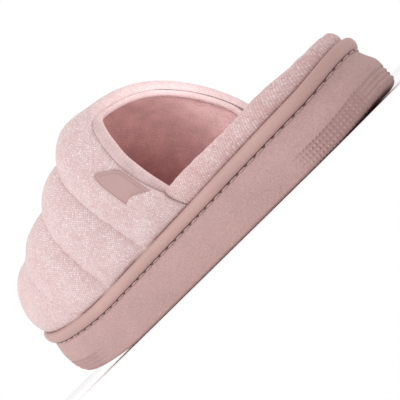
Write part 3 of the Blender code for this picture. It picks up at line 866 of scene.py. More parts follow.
def plush_finish(name, sizes, tint, pile, deep=None):
    """Short plush: fine tufts in faint rows, with soft patches where the nap lies another way.

    Where a deep colour is given, the plush turns from it, inside the toe, to its tint at the collar: painted
    shade, darker deep inside.
    """
    made = Finish(name, PLUSH_ROUGHNESS)
    along = made.flat()[1]
    tufts = made.noise(sizes.nap, *TUFT_NOISE)
    nap = made.noise(*PLUSH_NAP)
    rows = made.wave(made.sum("MULTIPLY_ADD", nap, PLUSH_WANDER, along), PLUSH_ROW)
    patches = made.swing(nap, MIDDLE, NAP_PATCHES * pile.depth)
    shade = made.sum("ADD", made.ramp(tufts, WIDE, TUFT_TONE), patches)
    shade = made.sum("MULTIPLY_ADD", rows, ROW_TONE, shade)
    tone = four(tint)
    # Painted shade: the lining darkens from the collar towards the inside of the toe
    if deep is not None:
        outward = made.node("ShaderNodeSeparateXYZ", {"Vector": made.place()})[0]
        tone = made.blend(made.ramp(outward, DEEP_SHADE_STRETCH), four(deep), tone)
    made.feed("Base Color", made.shade(tone, shade))
    lie = made.bump(made.sum("MULTIPLY_ADD", rows, ROW_LIE, nap), LIE_RELIEF)
    made.feed("Normal", made.bump(tufts, Relief(pile.depth, TUFT_STRENGTH), lie))
    made.sheen(pile.sheen, *PLUSH_SHEEN)
    return made.material


def rubber_finish(name, sizes, tint, roughness):
    """Moulded rubber: pebbled grain, faint mottling, and painted shade, pinker and darker, where marked as
    sunk.
    """
    made = Finish(name, roughness)
    grain = made.cells(sizes.grain)
    dust = made.noise(*RUBBER_DUST)
    mottle = made.noise(*RUBBER_MOTTLE)
    shade = made.sum("ADD", made.ramp(mottle, MIDDLE, MOTTLE_TONE), made.swing(dust, MIDDLE, DUST_TONE))
    shade = made.sum("ADD", shade, made.ramp(grain, GRAIN_CELL, GRAIN_TONE))
    base = made.shade(four(tint), shade)
    # Painted shade: sunk places, rib valleys and tread grooves, are painted darker and pinker
    sunk = made.ramp(made.mark("sunk"), SUNK_SHADE_FROM, SUNK_SHADE_SHARE)
    made.feed("Base Color", made.blend(sunk, base, pinker(tint, SUNK_SHADE_PINK)))
    made.feed("Roughness", made.ramp(mottle, MIDDLE, (roughness - RUBBER_SPAN, roughness + RUBBER_SPAN)))
    made.feed("Normal", made.bump(made.sum("ADD", grain, dust), RUBBER_RELIEF))
    return made.material


def strip_finish(name, tint):
    """Smooth matte strip: very fine grain, slow colour drift and a faint satin coat."""
    made = Finish(name, sum(STRIP_ROUGHNESS) / 2.0)
    drift = made.noise(*STRIP_DRIFT)
    dust = made.noise(*STRIP_DUST)
    shade = made.sum("ADD", made.ramp(drift, MIDDLE, STRIP_TONE), made.swing(dust, WIDE, STRIP_SPECK))
    made.feed("Base Color", made.shade(four(tint), shade))
    made.feed("Roughness", made.ramp(drift, MIDDLE, STRIP_ROUGHNESS))
    made.feed("Normal", made.bump(dust, SOFT_RELIEF))
    made.set("Coat Weight", STRIP_COAT)
    made.set("Coat Roughness", STRIP_COAT_ROUGHNESS)
    return made.material


def patch_finish(name, tint):
    """Soft moulded patch: fine leather-like grain."""
    made = Finish(name, sum(PATCH_ROUGHNESS) / 2.0)
    drift = made.noise(*PATCH_DRIFT)
    made.feed("Base Color", made.shade(four(tint), made.ramp(drift, MIDDLE, PATCH_TONE)))
    made.feed("Roughness", made.ramp(drift, MIDDLE, PATCH_ROUGHNESS))
    made.feed("Normal", made.bump(made.cells(PATCH_GRAIN), SOFT_RELIEF))
    return made.material


def thread_finish(name, tint, thickness):
    """Twisted thread: slanted plies along each stitch."""
    made = Finish(name, THREAD_ROUGHNESS)
    around, along = made.flat()
    twist = made.sum("MULTIPLY_ADD", around, THREAD_TWIST, made.sum("MULTIPLY", along, THREAD_CLIMB))
    plies = made.upward(made.sum("SINE", twist))
    made.feed("Base Color", made.shade(four(tint), made.ramp(plies, WHOLE, THREAD_TONE)))
    made.feed("Normal", made.bump(plies, Relief(thickness * PLY_DEPTH, PLY_STRENGTH)))
    made.set("Sheen Weight", THREAD_SHEEN)
    return made.material


def matte_finish(name, tint, noise, tones):
    """Plain matte surface whose tone drifts with a noise: the needle holes' painted shade and the floor."""
    made = Finish(name, MATTE)
    made.feed("Base Color", made.shade(four(tint), made.ramp(made.noise(*noise), MIDDLE, tones)))
    return made.material


# Sole
def end_ribs(x):
    """Share of the rib depth at the toe and at the heel: full at the ends, none between."""
    toe = np.clip((TOE_RIBS_END - x) / RIB_FADE, 0.0, 1.0)
    heel = np.clip((x - HEEL_RIBS_START) / RIB_FADE, 0.0, 1.0)
    return toe, heel


def swell(x, height):
    """How far the wall stands out beyond its plain profile near the heel and the toe."""
    amount = 0.0
    for end in SWELLS:
        level = ease(*end.low, height) * (1.0 - ease(*end.high, height))
        amount = amount + end.amount * level * ease(end.start, end.full, x)
    return amount


def tread_edge(share):
    """Distance of the tread's edge outside the plan."""
    return swell(plan_x(share, 0.0), 0.0) - FOOT_REACH


def wall_profile():
    """Profile of the wall: a rounded foot, an upright side, a shoulder and the ledge under the strip."""
    turn = np.linspace(0.0, math.pi / 2.0, FOOT_ROWS)
    foot = np.column_stack(((np.sin(turn) - 1.0) * FOOT_REACH, (1.0 - np.cos(turn)) * FOOT_HEIGHT))
    height = np.linspace(FOOT_HEIGHT, SIDE_TOP.height, SIDE_ROWS)[1:]
    side = np.column_stack((np.linspace(0.0, SIDE_TOP.grow, SIDE_ROWS)[1:], height))
    return np.vstack((foot, side, WALL_HEAD))


def wall_ring():
    """Shares, sides and run once round the plan, evenly spaced but closer together along heel and toe."""
    fine = packed_shares(FINE_STEPS)
    edge = plan_points(fine, True, 0.0, 0.0)
    run = run_along(edge, 0)
    pace = 1.0 + WALL_DENSITY * sum(end_ribs(edge[1:, 0]))
    total = np.concatenate(((0.0,), np.cumsum(np.diff(run) * pace)))
    even = np.linspace(0.0, total[-1], WALL_STATIONS)
    share = np.interp(even, total, fine)
    from_heel = run[-1] - np.interp(even, total, run)
    return there_and_back(share), inner_first(WALL_STATIONS), there_and_back(from_heel)


def wall_grid(share, inner_side, from_heel):
    """Grid of the wall: the profile carried round the plan, swelled and ribbed at toe and heel.

    A rib is half a cosine wave of the height, full at the ends of the foot and fading towards its middle.
    Beside the toe and the heel each rib is cut into short bars by a second wave, which runs round the plan.
    """
    profile = wall_profile()
    height = profile[:, 1:]
    x = plan_x(share, 0.0)
    toe, heel = end_ribs(x)
    last_rib = RIB_FIRST + (RIB_COUNT - 0.5) * RIB_PITCH
    ribbed = (height > RIB_FIRST - RIB_PITCH / 2.0) & (height < last_rib)
    valley = crest(height - RIB_FIRST, RIB_PITCH)
    bars = ease(*BAR_EDGE, crest(from_heel, NOTCH_PITCH))
    barred = toe * ease(*NOTCH_TOE, x) + heel * (1.0 - ease(*NOTCH_HEEL, x))
    notch = NOTCH_DEPTH * barred * (1.0 - bars) * (1.0 - valley)
    sunk = (RIB_DEPTH * (toe + heel) * valley + notch) * ribbed
    grow = profile[:, :1] + swell(x, height) - sunk
    return plan_points(share, inner_side, grow, height), sunk


def across_grid(edge):
    """Strips across a closed loop, from its inner half to its outer half."""
    count = (len(edge) + 1) // 2
    return band(edge[:count], edge[count - 1:][::-1])


def sunk_shade_marks(grids, sunk):
    """Painted-shade marks for a piece whose first grid is sunk in places and whose other grids are plain."""
    spare = sum(grid.points[..., 0].size for grid in grids[1:])
    return {"sunk": np.concatenate((sunk.ravel(), np.zeros(spare)))}


def sole_wall(material):
    """Wall of the sole: the ribbed grid, closed by a ledge under the tread's edge and by its flat top."""
    share, inner_side, from_heel = wall_ring()
    wall, sunk = wall_grid(share, inner_side, from_heel)
    lip = plan_points(share, inner_side, tread_edge(share), WALL_LIP)
    grids = [Grid(wall), band(wall[0], lip), across_grid(lip), across_grid(wall[-1])]
    # The ribs' depth also marks where the wall is painted darker, as painted shade
    marks = sunk_shade_marks(grids, WALL_SHADE * sunk)
    return add_piece("outsole_wall", grids, [material], ("outsole",), marks)


def groove_paths():
    """Paths of all grooves inside the tread: each family runs evenly from its first path to its last."""
    for family in TREAD:
        first = np.array(family.first, float)
        last = np.array(family.last or family.first, float)
        for k in range(family.count):
            t = k / max(family.count - 1, 1)
            path = mix(first, last, t)
            edge = swell(path[:, 0], 0.0) - TREAD_MARGIN
            inner, outer = half_widths(share_of(path[:, 0], edge), edge)
            yield np.column_stack((path[:, 0], np.clip(path[:, 1], -inner, outer)))


def groove_distance(x, y):
    """Distance of each point to the nearest groove's middle line."""
    nearest = np.full(x.shape, GROOVE_WIDTH)
    for path in groove_paths():
        for start, end in zip(path[:-1], path[1:]):
            way = end - start
            t = np.clip(((x - start[0]) * way[0] + (y - start[1]) * way[1]) / (way @ way), 0.0, 1.0)
            nearest = np.minimum(nearest, np.hypot(x - start[0] - t * way[0], y - start[1] - t * way[1]))
    return nearest


def sole_tread(material, depth):
    """Tread: a height field over the plan, let in by the grooves' rounded profile, with a plain back."""
    share = packed_shares(TREAD_STATIONS)
    x, y, _ = field_over_plan(share, tread_edge(share), TREAD_COLUMNS)
    sunk = 1.0 - ease(GROOVE_ROOT / 2.0, GROOVE_WIDTH / 2.0 + GROOVE_LIP, groove_distance(x, y))
    grids = pad_grids(x, y, depth * sunk, TREAD_BACK)
    # The grooves' depth also marks where the tread is painted darker, as painted shade
    return add_piece("outsole_tread", grids, [material], ("outsole",), sunk_shade_marks(grids, sunk))


# Strip and stitches
def strip_piece(material):
    """Strip: a rounded profile carried round the plan, with a slow hand-laid wave."""
    share, inner_side = ring(SOLE_STATIONS)
    profile = rounded_profile(STRIP_PROFILE, STRIP_SIDES)
    wave = STRIP_WAVE * ripple(share * LENGTH, STRIP_WAVES)
    grow = profile[:, :1] + np.where(profile[:, :1] > STRIP_INSIDE, wave, 0.0)
    points = plan_points(share, inner_side, grow, STRIP_BASE + profile[:, 1:])
    return add_piece("welt_strip_bead", [Grid(points)], [material], ("welt_strip",))


def groove_line(grow):
    """Path of the stitches round the plan, with its run."""
    share, inner_side = ring(SOLE_STATIONS)
    path = plan_points(share, inner_side, grow, STITCH_HEIGHT)
    return path, run_along(path, 0)


def at_run(path, run, at):
    """Points of a closed path at given distances along it."""
    return np.stack([np.interp(at, run, path[:, k], period=run[-1]) for k in range(3)], axis=-1)


def stitch_frames(pitch, reach, rings):
    """Points of every stitch's middle line, their outward directions and places along the stitch."""
    path, run = groove_line(STITCH_GROW)
    outer_path, outer_run = groove_line(STITCH_GROW + 1.0)
    count = int(run[-1] / pitch)
    middle = (np.arange(count) + 0.5) * run[-1] / count
    along = np.linspace(-1.0, 1.0, rings)
    at = middle[:, None] + along * reach
    line = at_run(path, run, at)
    outer_at = at / run[-1] * outer_run[-1]
    out = at_run(outer_path, outer_run, outer_at) - line
    out[..., 2] = 0.0
    return line, unit(out), along


def bead_grids(line, out, radius, push, sides):
    """Grids of closed beads: circles about each middle line, pushed outwards, as one grid per bead."""
    turn = np.linspace(0.0, math.tau, sides + 1)[:, None]
    out = out[:, :, None, :]
    circle = np.cos(turn) * out + np.sin(turn) * np.array((0.0, 0.0, 1.0))
    points = line[:, :, None, :] + circle * radius[:, None, None] + out * push[:, None, None]
    return [Grid(bead) for bead in points]


def stitches(material, sizes):
    """Thread: each stitch is a bead that bows out of the groove and closes at its needle holes."""
    line, out, along = stitch_frames(sizes.stitch_pitch / MM, sizes.stitch_length / MM / 2.0, STITCH_RINGS)
    radius = sizes.thread / MM / 2.0 * np.sqrt(np.clip(1.0 - np.abs(along) ** STITCH_BLUNT, 0.0, None))
    push = STITCH_BOW * (1.0 - along ** 2)
    return add_piece("welt_stitches", bead_grids(line, out, radius, push, STITCH_SIDES), [material])


def needle_holes(material, sizes):
    """Needle holes: small dark ellipsoids between the stitches, half sunk in the groove's wall, as painted
    shade.
    """
    line, out, along = stitch_frames(sizes.stitch_pitch / MM, HOLE_REACH, HOLE_RINGS)
    path, run = groove_line(STITCH_GROW)
    place = at_run(path, run, (np.arange(len(line)) + 1.0) * run[-1] / len(line))
    line = line + (place - line[:, HOLE_RINGS // 2])[:, None, :]
    radius = HOLE_RADIUS * np.sqrt(np.clip(1.0 - along ** 2, 0.0, None))
    push = np.zeros(len(along))
    return add_piece("needle_holes", bead_grids(line, out, radius, push, STITCH_SIDES), [material])


# Vamp
def arch_fullness(share, angle):
    """Power of the quarter ellipse on the side of the ridge that the angle is on."""
    return np.where(np.cos(angle) > 0.0, curve(CROWN, "inner_full", share), curve(CROWN, "outer_full", share))


def arch_height(seam, angle):
    """Share of the arch's height that the angle reaches at a seam."""
    return np.abs(np.sin(angle)) ** (2.0 / arch_fullness(share_of(seam.half), angle))


def seam_place(seam, height, outer_side):
    """Place of a seam along the foot at a height of the arch; the collar has its own outer side."""
    place = smooth(SEAM_HEIGHTS, seam, height)
    if seam is COLLAR:
        place = np.where(outer_side, smooth(SEAM_HEIGHTS, COLLAR_OUTER, height), place)
    return place


def seam_share(seam, angle):
    """Place of a seam as a share of the length, read at the height that the angle reaches on the arch."""
    return share_of(seam_place(seam, arch_height(seam, angle), np.cos(angle) < 0.0))


def arch_point(share, angle, inset):
    """Point of the vamp: two full quarter ellipses that meet on the ridge, drawn inwards by inset."""
    grow = ARCH_GROW - inset
    inner, outer = half_widths(share, grow)
    dome = round_end(share, TOE_DOME)
    crown = (curve(CROWN, "crown", share) - inset) * dome
    ridge = curve(CROWN, "ridge", share) * dome
    power = 2.0 / arch_fullness(share, angle)
    reach = np.where(np.cos(angle) > 0.0, -inner, outer) - ridge
    x = plan_x(share, grow)
    y = ridge + reach * np.abs(np.cos(angle)) ** power
    z = rise(x) + ARCH_BASE + crown * np.abs(np.sin(angle)) ** power
    return stack(x, y, z)


def puff_shape(channel, t, puff):
    """Height of a puff over its channel: round in the middle, pulled in at seams, full at the collar."""
    first = puff * np.cos(t * math.pi / 2.0) ** PUFF_ROUND
    middle = puff * np.clip(np.sin(t * math.pi), 0.0, None) ** PUFF_ROUND
    last = np.where(t > 0.5, COLLAR_PUFF + (puff - COLLAR_PUFF) * middle / puff, middle)
    turn = round_end(1.0 - t, COLLAR_ROUND)
    return np.select((channel == 0, channel == LAST), (first, mix(COLLAR_EDGE, last, turn)), middle)


def strip_fade(share, angle):
    """Share of a puff's height that is left near the strip: a quarter ellipse of the height above it."""
    crown = curve(CROWN, "crown", share) * round_end(share, TOE_DOME)
    height = crown * np.abs(np.sin(angle)) ** (2.0 / arch_fullness(share, angle))
    return round_end(height, PUFF_FADE)


def shoulder(angle):
    """Share of the collar's overhanging end: none on the inner side, full from the ridge outwards."""
    return ease(*SHOULDER_TURN, angle) * strip_fade(seam_share(COLLAR, angle), angle)


def vamp_rows(rows):
    """Channel number and place within the channel for each row from toe to collar."""
    channel = np.repeat(np.arange(len(SEAMS)), rows)
    t = np.tile(np.arange(1, rows + 1) / rows, len(SEAMS))
    channel = np.concatenate(((0,), channel))
    t = np.concatenate(((0.0,), t))
    packed = np.where(channel == 0, 1.0 - np.cos(t * math.pi / 2.0), t)
    return channel, np.where(channel == LAST, 1.0 - (1.0 - t) ** COLLAR_PACK, packed)


def vamp_angles(columns):
    """Angles round the arch, closer together at the strip and on the ridge."""
    at = np.linspace(0.0, 1.0, columns)
    return at, math.pi * at - COLUMN_PACK * np.sin(4.0 * math.pi * at)


def channel_share(channel, t, angle):
    """Place along the foot for a place within a channel."""
    edges = np.stack([np.zeros_like(angle)] + [seam_share(seam, angle) for seam in SEAMS])
    return mix(edges[channel], edges[channel + 1], t[:, None])


def crease_depth(channel, t, around):
    """Sum of the listed creases: a soft trough along a slanted line, with a low ridge on each side."""
    total = 0.0
    for crease in CREASES:
        along = t[:, None] - crease.along
        off = (around - crease.around - crease.slant * along) / crease.width
        fade = np.exp(-(along / crease.length) ** 2) * (channel[:, None] == crease.channel)
        total = total + crease.depth * fade * (1.0 - off ** 2) * np.exp(-off ** 2)
    return total


def gather_height(points, gather):
    """Gathers: waves along the nearest seam that die away within a few millimetres of it."""
    girth = run_along(points, 1)
    length = run_along(points, 0)
    near = np.full(length.shape, np.inf)
    for row in range(PUFF_ROWS, len(length) - PUFF_ROWS, PUFF_ROWS):
        near = np.minimum(near, np.abs(length - length[row]))
    drift = GATHER_BASE + GATHER_SWING * ripple(girth, GATHER_DRIFT)
    strength = np.exp(-(near / GATHER_REACH) ** 2) * drift
    return gather * strength * ripple(girth + GATHER_SLANT * length, GATHER_WAVES)


def tuck_height(channel, t, angle):
    """Swelling of the knit under the patch's lower end: highest along a bowed edge, dying away below it."""
    level = arch_height(COLLAR, angle)
    place = np.clip((t - TUCK_FROM) / (1.0 - TUCK_FROM), 0.0, 1.0)[:, None]
    edge = TUCK_HEIGHT + TUCK_BOW * np.sin(place * math.pi)
    below = np.clip((edge - level) / TUCK_REACH, -1.0, 1.0)
    shape = ease(*TUCK_LIP, below) * (1.0 - ease(*TUCK_FALL, below))
    on_side = (angle < math.pi / 2.0) & (channel == LAST)[:, None]
    less = 1.0 - TUCK_LESS * ease(*TUCK_CLOSE, place)
    return TUCK_RISE * shape * on_side * ease(*TUCK_OPEN, place) * less


def with_skirts(arch, share, wall):
    """Rows of an arch with its skirts added, which go down inside the strip."""
    sides = np.array((True, False))
    ends = share[:, (0, -1)]
    low = plan_points(ends, sides, SKIRT_GROW - wall, STRIP_BASE)
    high = plan_points(ends, sides, SKIRT_GROW - wall, SKIRT_TOP)
    return np.concatenate((low[:, :1], high[:, :1], arch, high[:, 1:], low[:, 1:]), axis=1)


def shell(outer, inner):
    """Closed shell of two like grids, joined along the collar and along both skirts."""
    return [Grid(outer), Grid(inner), band(outer[-1], inner[-1]),
            band(outer[:, 0], inner[:, 0]), band(outer[:, -1], inner[:, -1])]


def vamp_knit(material, sizes):
    """Knit with its padding: the arch raised by puffs, gathers, creases and the fold under the patch."""
    channel, t = vamp_rows(PUFF_ROWS)
    around, angle = vamp_angles(VAMP_COLUMNS)
    over = shoulder(angle)
    back = np.where(channel == LAST, t * t, 0.0)
    share = channel_share(channel, t, angle) + SHOULDER_REACH / LENGTH * back[:, None] * over
    fade = strip_fade(share, angle)
    puff = puff_shape(channel, t, sizes.puff / MM)[:, None]
    plain = arch_point(share, angle, -puff * fade)
    lift = puff - crease_depth(channel, t, around) + gather_height(plain, sizes.gather / MM)
    lift = lift + tuck_height(channel, t, angle)
    end = np.where(channel == LAST, 1.0 - round_end(1.0 - t, SHOULDER_ROUND), 0.0)[:, None]
    lift = lift - SHOULDER_DROP * end * over
    outer = with_skirts(arch_point(share, angle, -lift * fade), share, 0.0)
    hem = KNIT_DEPTH + SHOULDER_HEM * end * over
    inner = with_skirts(arch_point(share, angle, hem), share, KNIT_DEPTH)
    piece = add_piece("vamp_knit", shell(outer, inner), [material], ("upper",))
    return piece


def vamp_lining(material):
    """Plush lining: a thin shell inside the knit, as deep as the wall."""
    channel, t = vamp_rows(LINING_ROWS)
    angle = vamp_angles(LINING_COLUMNS)[1]
    share = channel_share(channel, t, angle)
    layers = []
    for depth in (KNIT_DEPTH + LINING_GAP, UPPER_WALL):
        layers.append(with_skirts(arch_point(share, angle, np.full(share.shape, depth)), share, depth))
    return add_piece("vamp_lining", shell(*layers), [material])


# Collar roll, heel rim, footbed and patch
def collar_edge(angle, inset):
    """Points of the vamp along the collar's edge, drawn inwards by inset."""
    return arch_point(seam_share(COLLAR, angle), angle, inset)


def even_angles():
    """Angles that space the roll's stations evenly along the collar, from strip to strip."""
    fine = np.linspace(0.0, math.pi, FINE_STEPS)
    edge = collar_edge(fine, ROLL_INSET)
    above = edge[:, 2] > rise(edge[:, 0]) + ARCH_BASE + ROLL_BASE
    run = run_along(edge[above], 0)
    return np.interp(np.linspace(0.0, run[-1], ROLL_STATIONS), run, fine[above])


def collar_roll(material):
    """Plush roll: an oval carried round the collar edge, thinner towards its ends, which go into the rim."""
    angle = even_angles()
    inset = ROLL_INSET + ROLL_SINK * SHOULDER_DROP * shoulder(angle)
    edge = collar_edge(angle, inset)
    across = collar_edge(angle, inset - 1.0) - edge
    ahead = unit(np.gradient(edge, axis=0))
    across = unit(across - ahead * (across * ahead).sum(axis=1)[:, None])
    along = np.cross(ahead, across)
    run = run_along(edge, 0)
    left = np.minimum(run, run[-1] - run)
    ends = 1.0 - ease(0.0, ROLL_TAPER, left)
    size = 1.0 - (1.0 - ROLL_THIN) * ends
    size = np.minimum(size, 1.0 - (1.0 - ROLL_OUTER) * shoulder(angle))
    size = size * round_end(left, ROLL_END) * (1.0 + ROLL_WAVE / ROLL_ALONG * ripple(run, ROLL_WAVES))
    back = ROLL_ALONG * size + ROLL_GAP - ROLL_PRESS * (1.0 - shoulder(angle))
    path = edge + along * back[:, None] - across * (ROLL_TUCK * ends)[:, None]
    turn = np.linspace(0.0, math.tau, ROLL_SIDES + 1)[:, None]
    oval = np.cos(turn) * ROLL_ACROSS * across[:, None, :] + np.sin(turn) * ROLL_ALONG * along[:, None, :]
    points = path[:, None, :] + oval * size[:, None, None]
    piece = add_piece("collar_roll", [Grid(points)], [material], ("collar_binding",))
    return piece


def rim_turn(x):
    """Share of the rim's growth along the foot: none at the heel, full at the collar."""
    return sum(turn.part * ease(turn.start, turn.full, x) for turn in RIM_TURNS)


def rim_grid():
    """Rim: a rounded profile carried round the heel from just behind the collar, drawn in at its ends."""
    profile = rounded_profile(RIM_PROFILE, RIM_SIDES)
    crown = curve(CROWN, "crown", share_of(COLLAR.strip))
    over = np.clip(profile[:, 1] - STRIP_TOP, 0.0, None)
    level = np.clip((profile[:, 1] + over * RIM_TALLER - ARCH_BASE) / crown, 0.0, 1.0)
    starts = [share_of(seam_place(COLLAR, level, outer_side) + RIM_GAP) for outer_side in (False, True)]
    inner, outer = (np.arccos(1.0 - 2.0 * start)[:, None] for start in starts)
    turn = inner + np.linspace(0.0, 1.0, RIM_STATIONS) * (math.tau - inner - outer)
    share = (1.0 - np.cos(turn)) / 2.0
    inner_side = np.sin(turn) >= 0.0
    turned = over[:, None] * rim_turn(plan_x(share, profile[:, :1]))
    grow = profile[:, :1] + RIM_UPRIGHT * turned
    height = profile[:, 1:] + RIM_TALLER * turned
    plain = plan_points(share, inner_side, grow, height)
    run = run_along(plain, 1)
    loose = ease(*RIM_LOOSE, height)
    proud = loose * RIM_WAVE * ripple(run, RIM_WAVES)
    close = RIM_CLOSE * loose * (1.0 - round_end(np.minimum(run, run[:, -1:] - run), RIM_END))
    middle = profile.mean(axis=0)
    grow = grow + proud - close * (grow - middle[0])
    return plan_points(share, inner_side, grow, height + RIM_LIFT * proud - close * (height - middle[1]))


def heel_rim(knit, plush):
    """Padded rim: knit outside and over the top, plush on the side of the foot, with closed ends."""
    points = rim_grid()
    split = int(RIM_PLUSH * len(points))
    flat = grid_map(points)[..., ::-1]
    grids = [Grid(points[:split + 1], flat[:split + 1], 0), Grid(points[split:], flat[split:], 1)]
    for end in (points[:, 0], points[:, -1]):
        grids.append(band(end, np.broadcast_to(end[:-1].mean(axis=0), end.shape)))
    piece = add_piece("heel_rim_knit", grids, [knit, plush], ("heel_rim",))
    return piece


def footbed(material):
    """Footbed: a pad with a rolled edge and a shallow dish, worn at the heel and at the ball."""
    x, y, margin = field_over_plan(packed_shares(INSOLE_STATIONS), INSOLE_GROW, INSOLE_COLUMNS)
    top = INSOLE_EDGE + INSOLE_ROLL * ease(*EDGE_MARGIN, margin) - INSOLE_DISH * ease(*DISH_MARGIN, margin)
    for hollow in HOLLOWS:
        reach = ((x - hollow.x) / hollow.along) ** 2 + ((y - hollow.y) / hollow.across) ** 2
        top = top - hollow.depth * np.exp(-reach)
    grids = pad_grids(x, y, INSOLE_BASE + top, INSOLE_BASE)
    piece = add_piece("footbed_plush", grids, [material], ("insole",))
    return piece


def patch_surface(u, v, lift, puff):
    """Point of the patch, lifted off the knit: u from -1 in front to 1 at the back, v from top to foot."""
    back = (u + 1.0) / 2.0
    foot = (v + 1.0) / 2.0
    ends = []
    for row in (PATCH_TOP, PATCH_FOOT):
        along = mix(row.front_along, row.back_along + PATCH_TUCK, back)
        ends.append((along, mix(row.front_height, row.back_height, back)))
    along, height = (mix(top, low, foot) for top, low in zip(*ends))
    angle = np.arcsin(height ** (arch_fullness(share_of(COLLAR.half), 0.0) / 2.0))
    start = seam_share(SEAMS[-2], angle)
    share = start + (seam_share(COLLAR, angle) - start) * along
    knit = puff_shape(LAST, along, puff) * strip_fade(share, angle)
    return arch_point(share, angle, -knit - lift)


def patch_piece(material, sizes):
    """Bare patch: a square with round corners laid on the knit, with a soft edge and one pressed line."""
    u = np.linspace(-1.0, 1.0, PATCH_ROWS)[:, None]
    v = np.linspace(-1.0, 1.0, PATCH_ROWS)[None, :]
    reach = np.maximum(np.abs(u), np.abs(v))
    corner = (np.abs(u) ** PATCH_CORNER + np.abs(v) ** PATCH_CORNER) ** (1.0 / PATCH_CORNER)
    squeeze = reach / np.maximum(corner, TINY)
    edge = round_end(1.0 - reach, PATCH_EDGE)
    line = PATCH_LINE_DEPTH * np.exp(-((1.0 - reach - PATCH_LINE) / PATCH_LINE_WIDTH) ** 2)
    lifts = (PATCH_GAP + PATCH_THICK * edge - line, np.full(edge.shape, PATCH_GAP - PATCH_SINK))
    top, low = (patch_surface(u * squeeze, v * squeeze, lift, sizes.puff / MM) for lift in lifts)
    grids = [Grid(top), Grid(low)]
    grids += [band(top[k], low[k]) for k in (0, -1)]
    grids += [band(top[:, k], low[:, k]) for k in (0, -1)]
    return add_piece("patch_bare", grids, [material], ("label_patch",))


# Studio
def camera_matrix():
    """Place and turn of the camera: the photograph's way round the shoe, stopped at the floor, rolled."""
    azimuth = math.radians(CAMERA_AZIMUTH)
    target = Vector(CAMERA_TARGET)
    level = math.sqrt(CAMERA_DISTANCE ** 2 - (target.z - CAMERA_HEIGHT) ** 2)
    x = target.x + math.sin(azimuth) * level
    y = target.y - math.cos(azimuth) * level
    place = Vector((x, y, CAMERA_HEIGHT))
    look = (target - place).to_track_quat("-Z", "Y").to_matrix().to_4x4()
    return Matrix.Translation(place * MM) @ look @ Matrix.Rotation(math.radians(CAMERA_ROLL), 4, "Z")


def add_camera():
    """Camera with the photograph's focal length over its width, as a lens on the given sensor."""
    data = bpy.data.cameras.new("camera")
    data.sensor_width = SENSOR
    data.lens = FOCAL_PIXELS / FRAME_PIXELS * SENSOR
    data.clip_start = CLIP_START
    camera = put_in_scene("camera", data)
    camera.matrix_world = camera_matrix()
    bpy.context.scene.camera = camera


def add_light(row):
    """Soft square light, placed to the left of, towards and above the shoe as the camera sees it."""
    azimuth = math.radians(CAMERA_AZIMUTH)
    left = Vector((-math.cos(azimuth), -math.sin(azimuth), 0.0))
    toward = Vector((math.sin(azimuth), -math.cos(azimuth), 0.0))
    place = left * row.left + toward * row.toward + Vector((0.0, 0.0, row.up))
    data = bpy.data.lights.new(row.name, "AREA")
    data.size = row.size
    data.energy = row.power
    light = put_in_scene(row.name, data)
    aim = Vector(LIGHT_AIM) - place
    light.matrix_world = Matrix.Translation(place) @ aim.to_track_quat("-Z", "Y").to_matrix().to_4x4()
    light.visible_camera = False


def add_sky():
    """Even white sky, which lights the shoe softly from all round."""
    world = bpy.data.worlds.new("sky")
    world.use_nodes = True
    background = world.node_tree.nodes["Background"]
    background.inputs["Color"].default_value = (1.0, 1.0, 1.0, 1.0)
    background.inputs["Strength"].default_value = SKY_STRENGTH
    bpy.context.scene.world = world


def add_floor(material):
    """Flat square floor, a hair under the tread."""
    corners = ((-FLOOR_HALF, -FLOOR_HALF), (FLOOR_HALF, -FLOOR_HALF), (FLOOR_HALF, FLOOR_HALF),
               (-FLOOR_HALF, FLOOR_HALF))
    mesh = bpy.data.meshes.new("floor")
    mesh.from_pydata([(x, y, -FLOOR_DROP) for x, y in corners], [], [(0, 1, 2, 3)])
    mesh.materials.append(material)
    floor = put_in_scene("floor", mesh)


# Operators
class PieceMaker:
    """What the operators share: sizes and colours of the scene."""

    bl_options = {"REGISTER", "UNDO"}

    def settings(self, context):
        return context.scene.slipper_sizes, context.scene.slipper_colours


class SLIPPER_OT_sole(PieceMaker, bpy.types.Operator):
    """Make the moulded sole: its wall and its tread"""

    bl_idname = "slipper.sole"
    bl_label = "Sole"

    def execute(self, context):
        sizes, colours = self.settings(context)
        sole_wall(rubber_finish("wall_rubber", sizes, colours.wall, WALL_ROUGHNESS))
        rubber = rubber_finish("tread_rubber", sizes, colours.tread, TREAD_ROUGHNESS)
        sole_tread(rubber, sizes.groove / MM)
        return {"FINISHED"}


class SLIPPER_OT_strip(PieceMaker, bpy.types.Operator):
    """Make the strip round the sole, its stitches and their needle holes"""

    bl_idname = "slipper.strip"
    bl_label = "Strip and stitches"

    def execute(self, context):
        sizes, colours = self.settings(context)
        strip_piece(strip_finish("strip_smooth", colours.strip))
        stitches(thread_finish("twisted_thread", colours.thread, sizes.thread), sizes)
        # Painted shade: dark blobs stand for the shadow in the needle holes
        needle_holes(matte_finish("needle_hole", colours.hole_shade, HOLE_SHADE_NOISE, HOLE_TONE), sizes)
        return {"FINISHED"}


class SLIPPER_OT_vamp(PieceMaker, bpy.types.Operator):
    """Make the quilted vamp and its lining"""

    bl_idname = "slipper.vamp"
    bl_label = "Vamp and lining"

    def execute(self, context):
        sizes, colours = self.settings(context)
        vamp_knit(knit_finish("vamp_knit", sizes, colours.knit, colours.shimmer, VAMP_FUZZ), sizes)
        # The lining gets painted shade, darker deep inside the toe
        vamp_lining(plush_finish("lining_plush", sizes, colours.lining, LONG_PILE, colours.inside))
        return {"FINISHED"}


class SLIPPER_OT_collar(PieceMaker, bpy.types.Operator):
    """Make the plush roll round the collar"""

    bl_idname = "slipper.collar"
    bl_label = "Collar roll"

    def execute(self, context):
        sizes, colours = self.settings(context)
        collar_roll(plush_finish("roll_plush", sizes, colours.plush, SHORT_PILE))
        return {"FINISHED"}


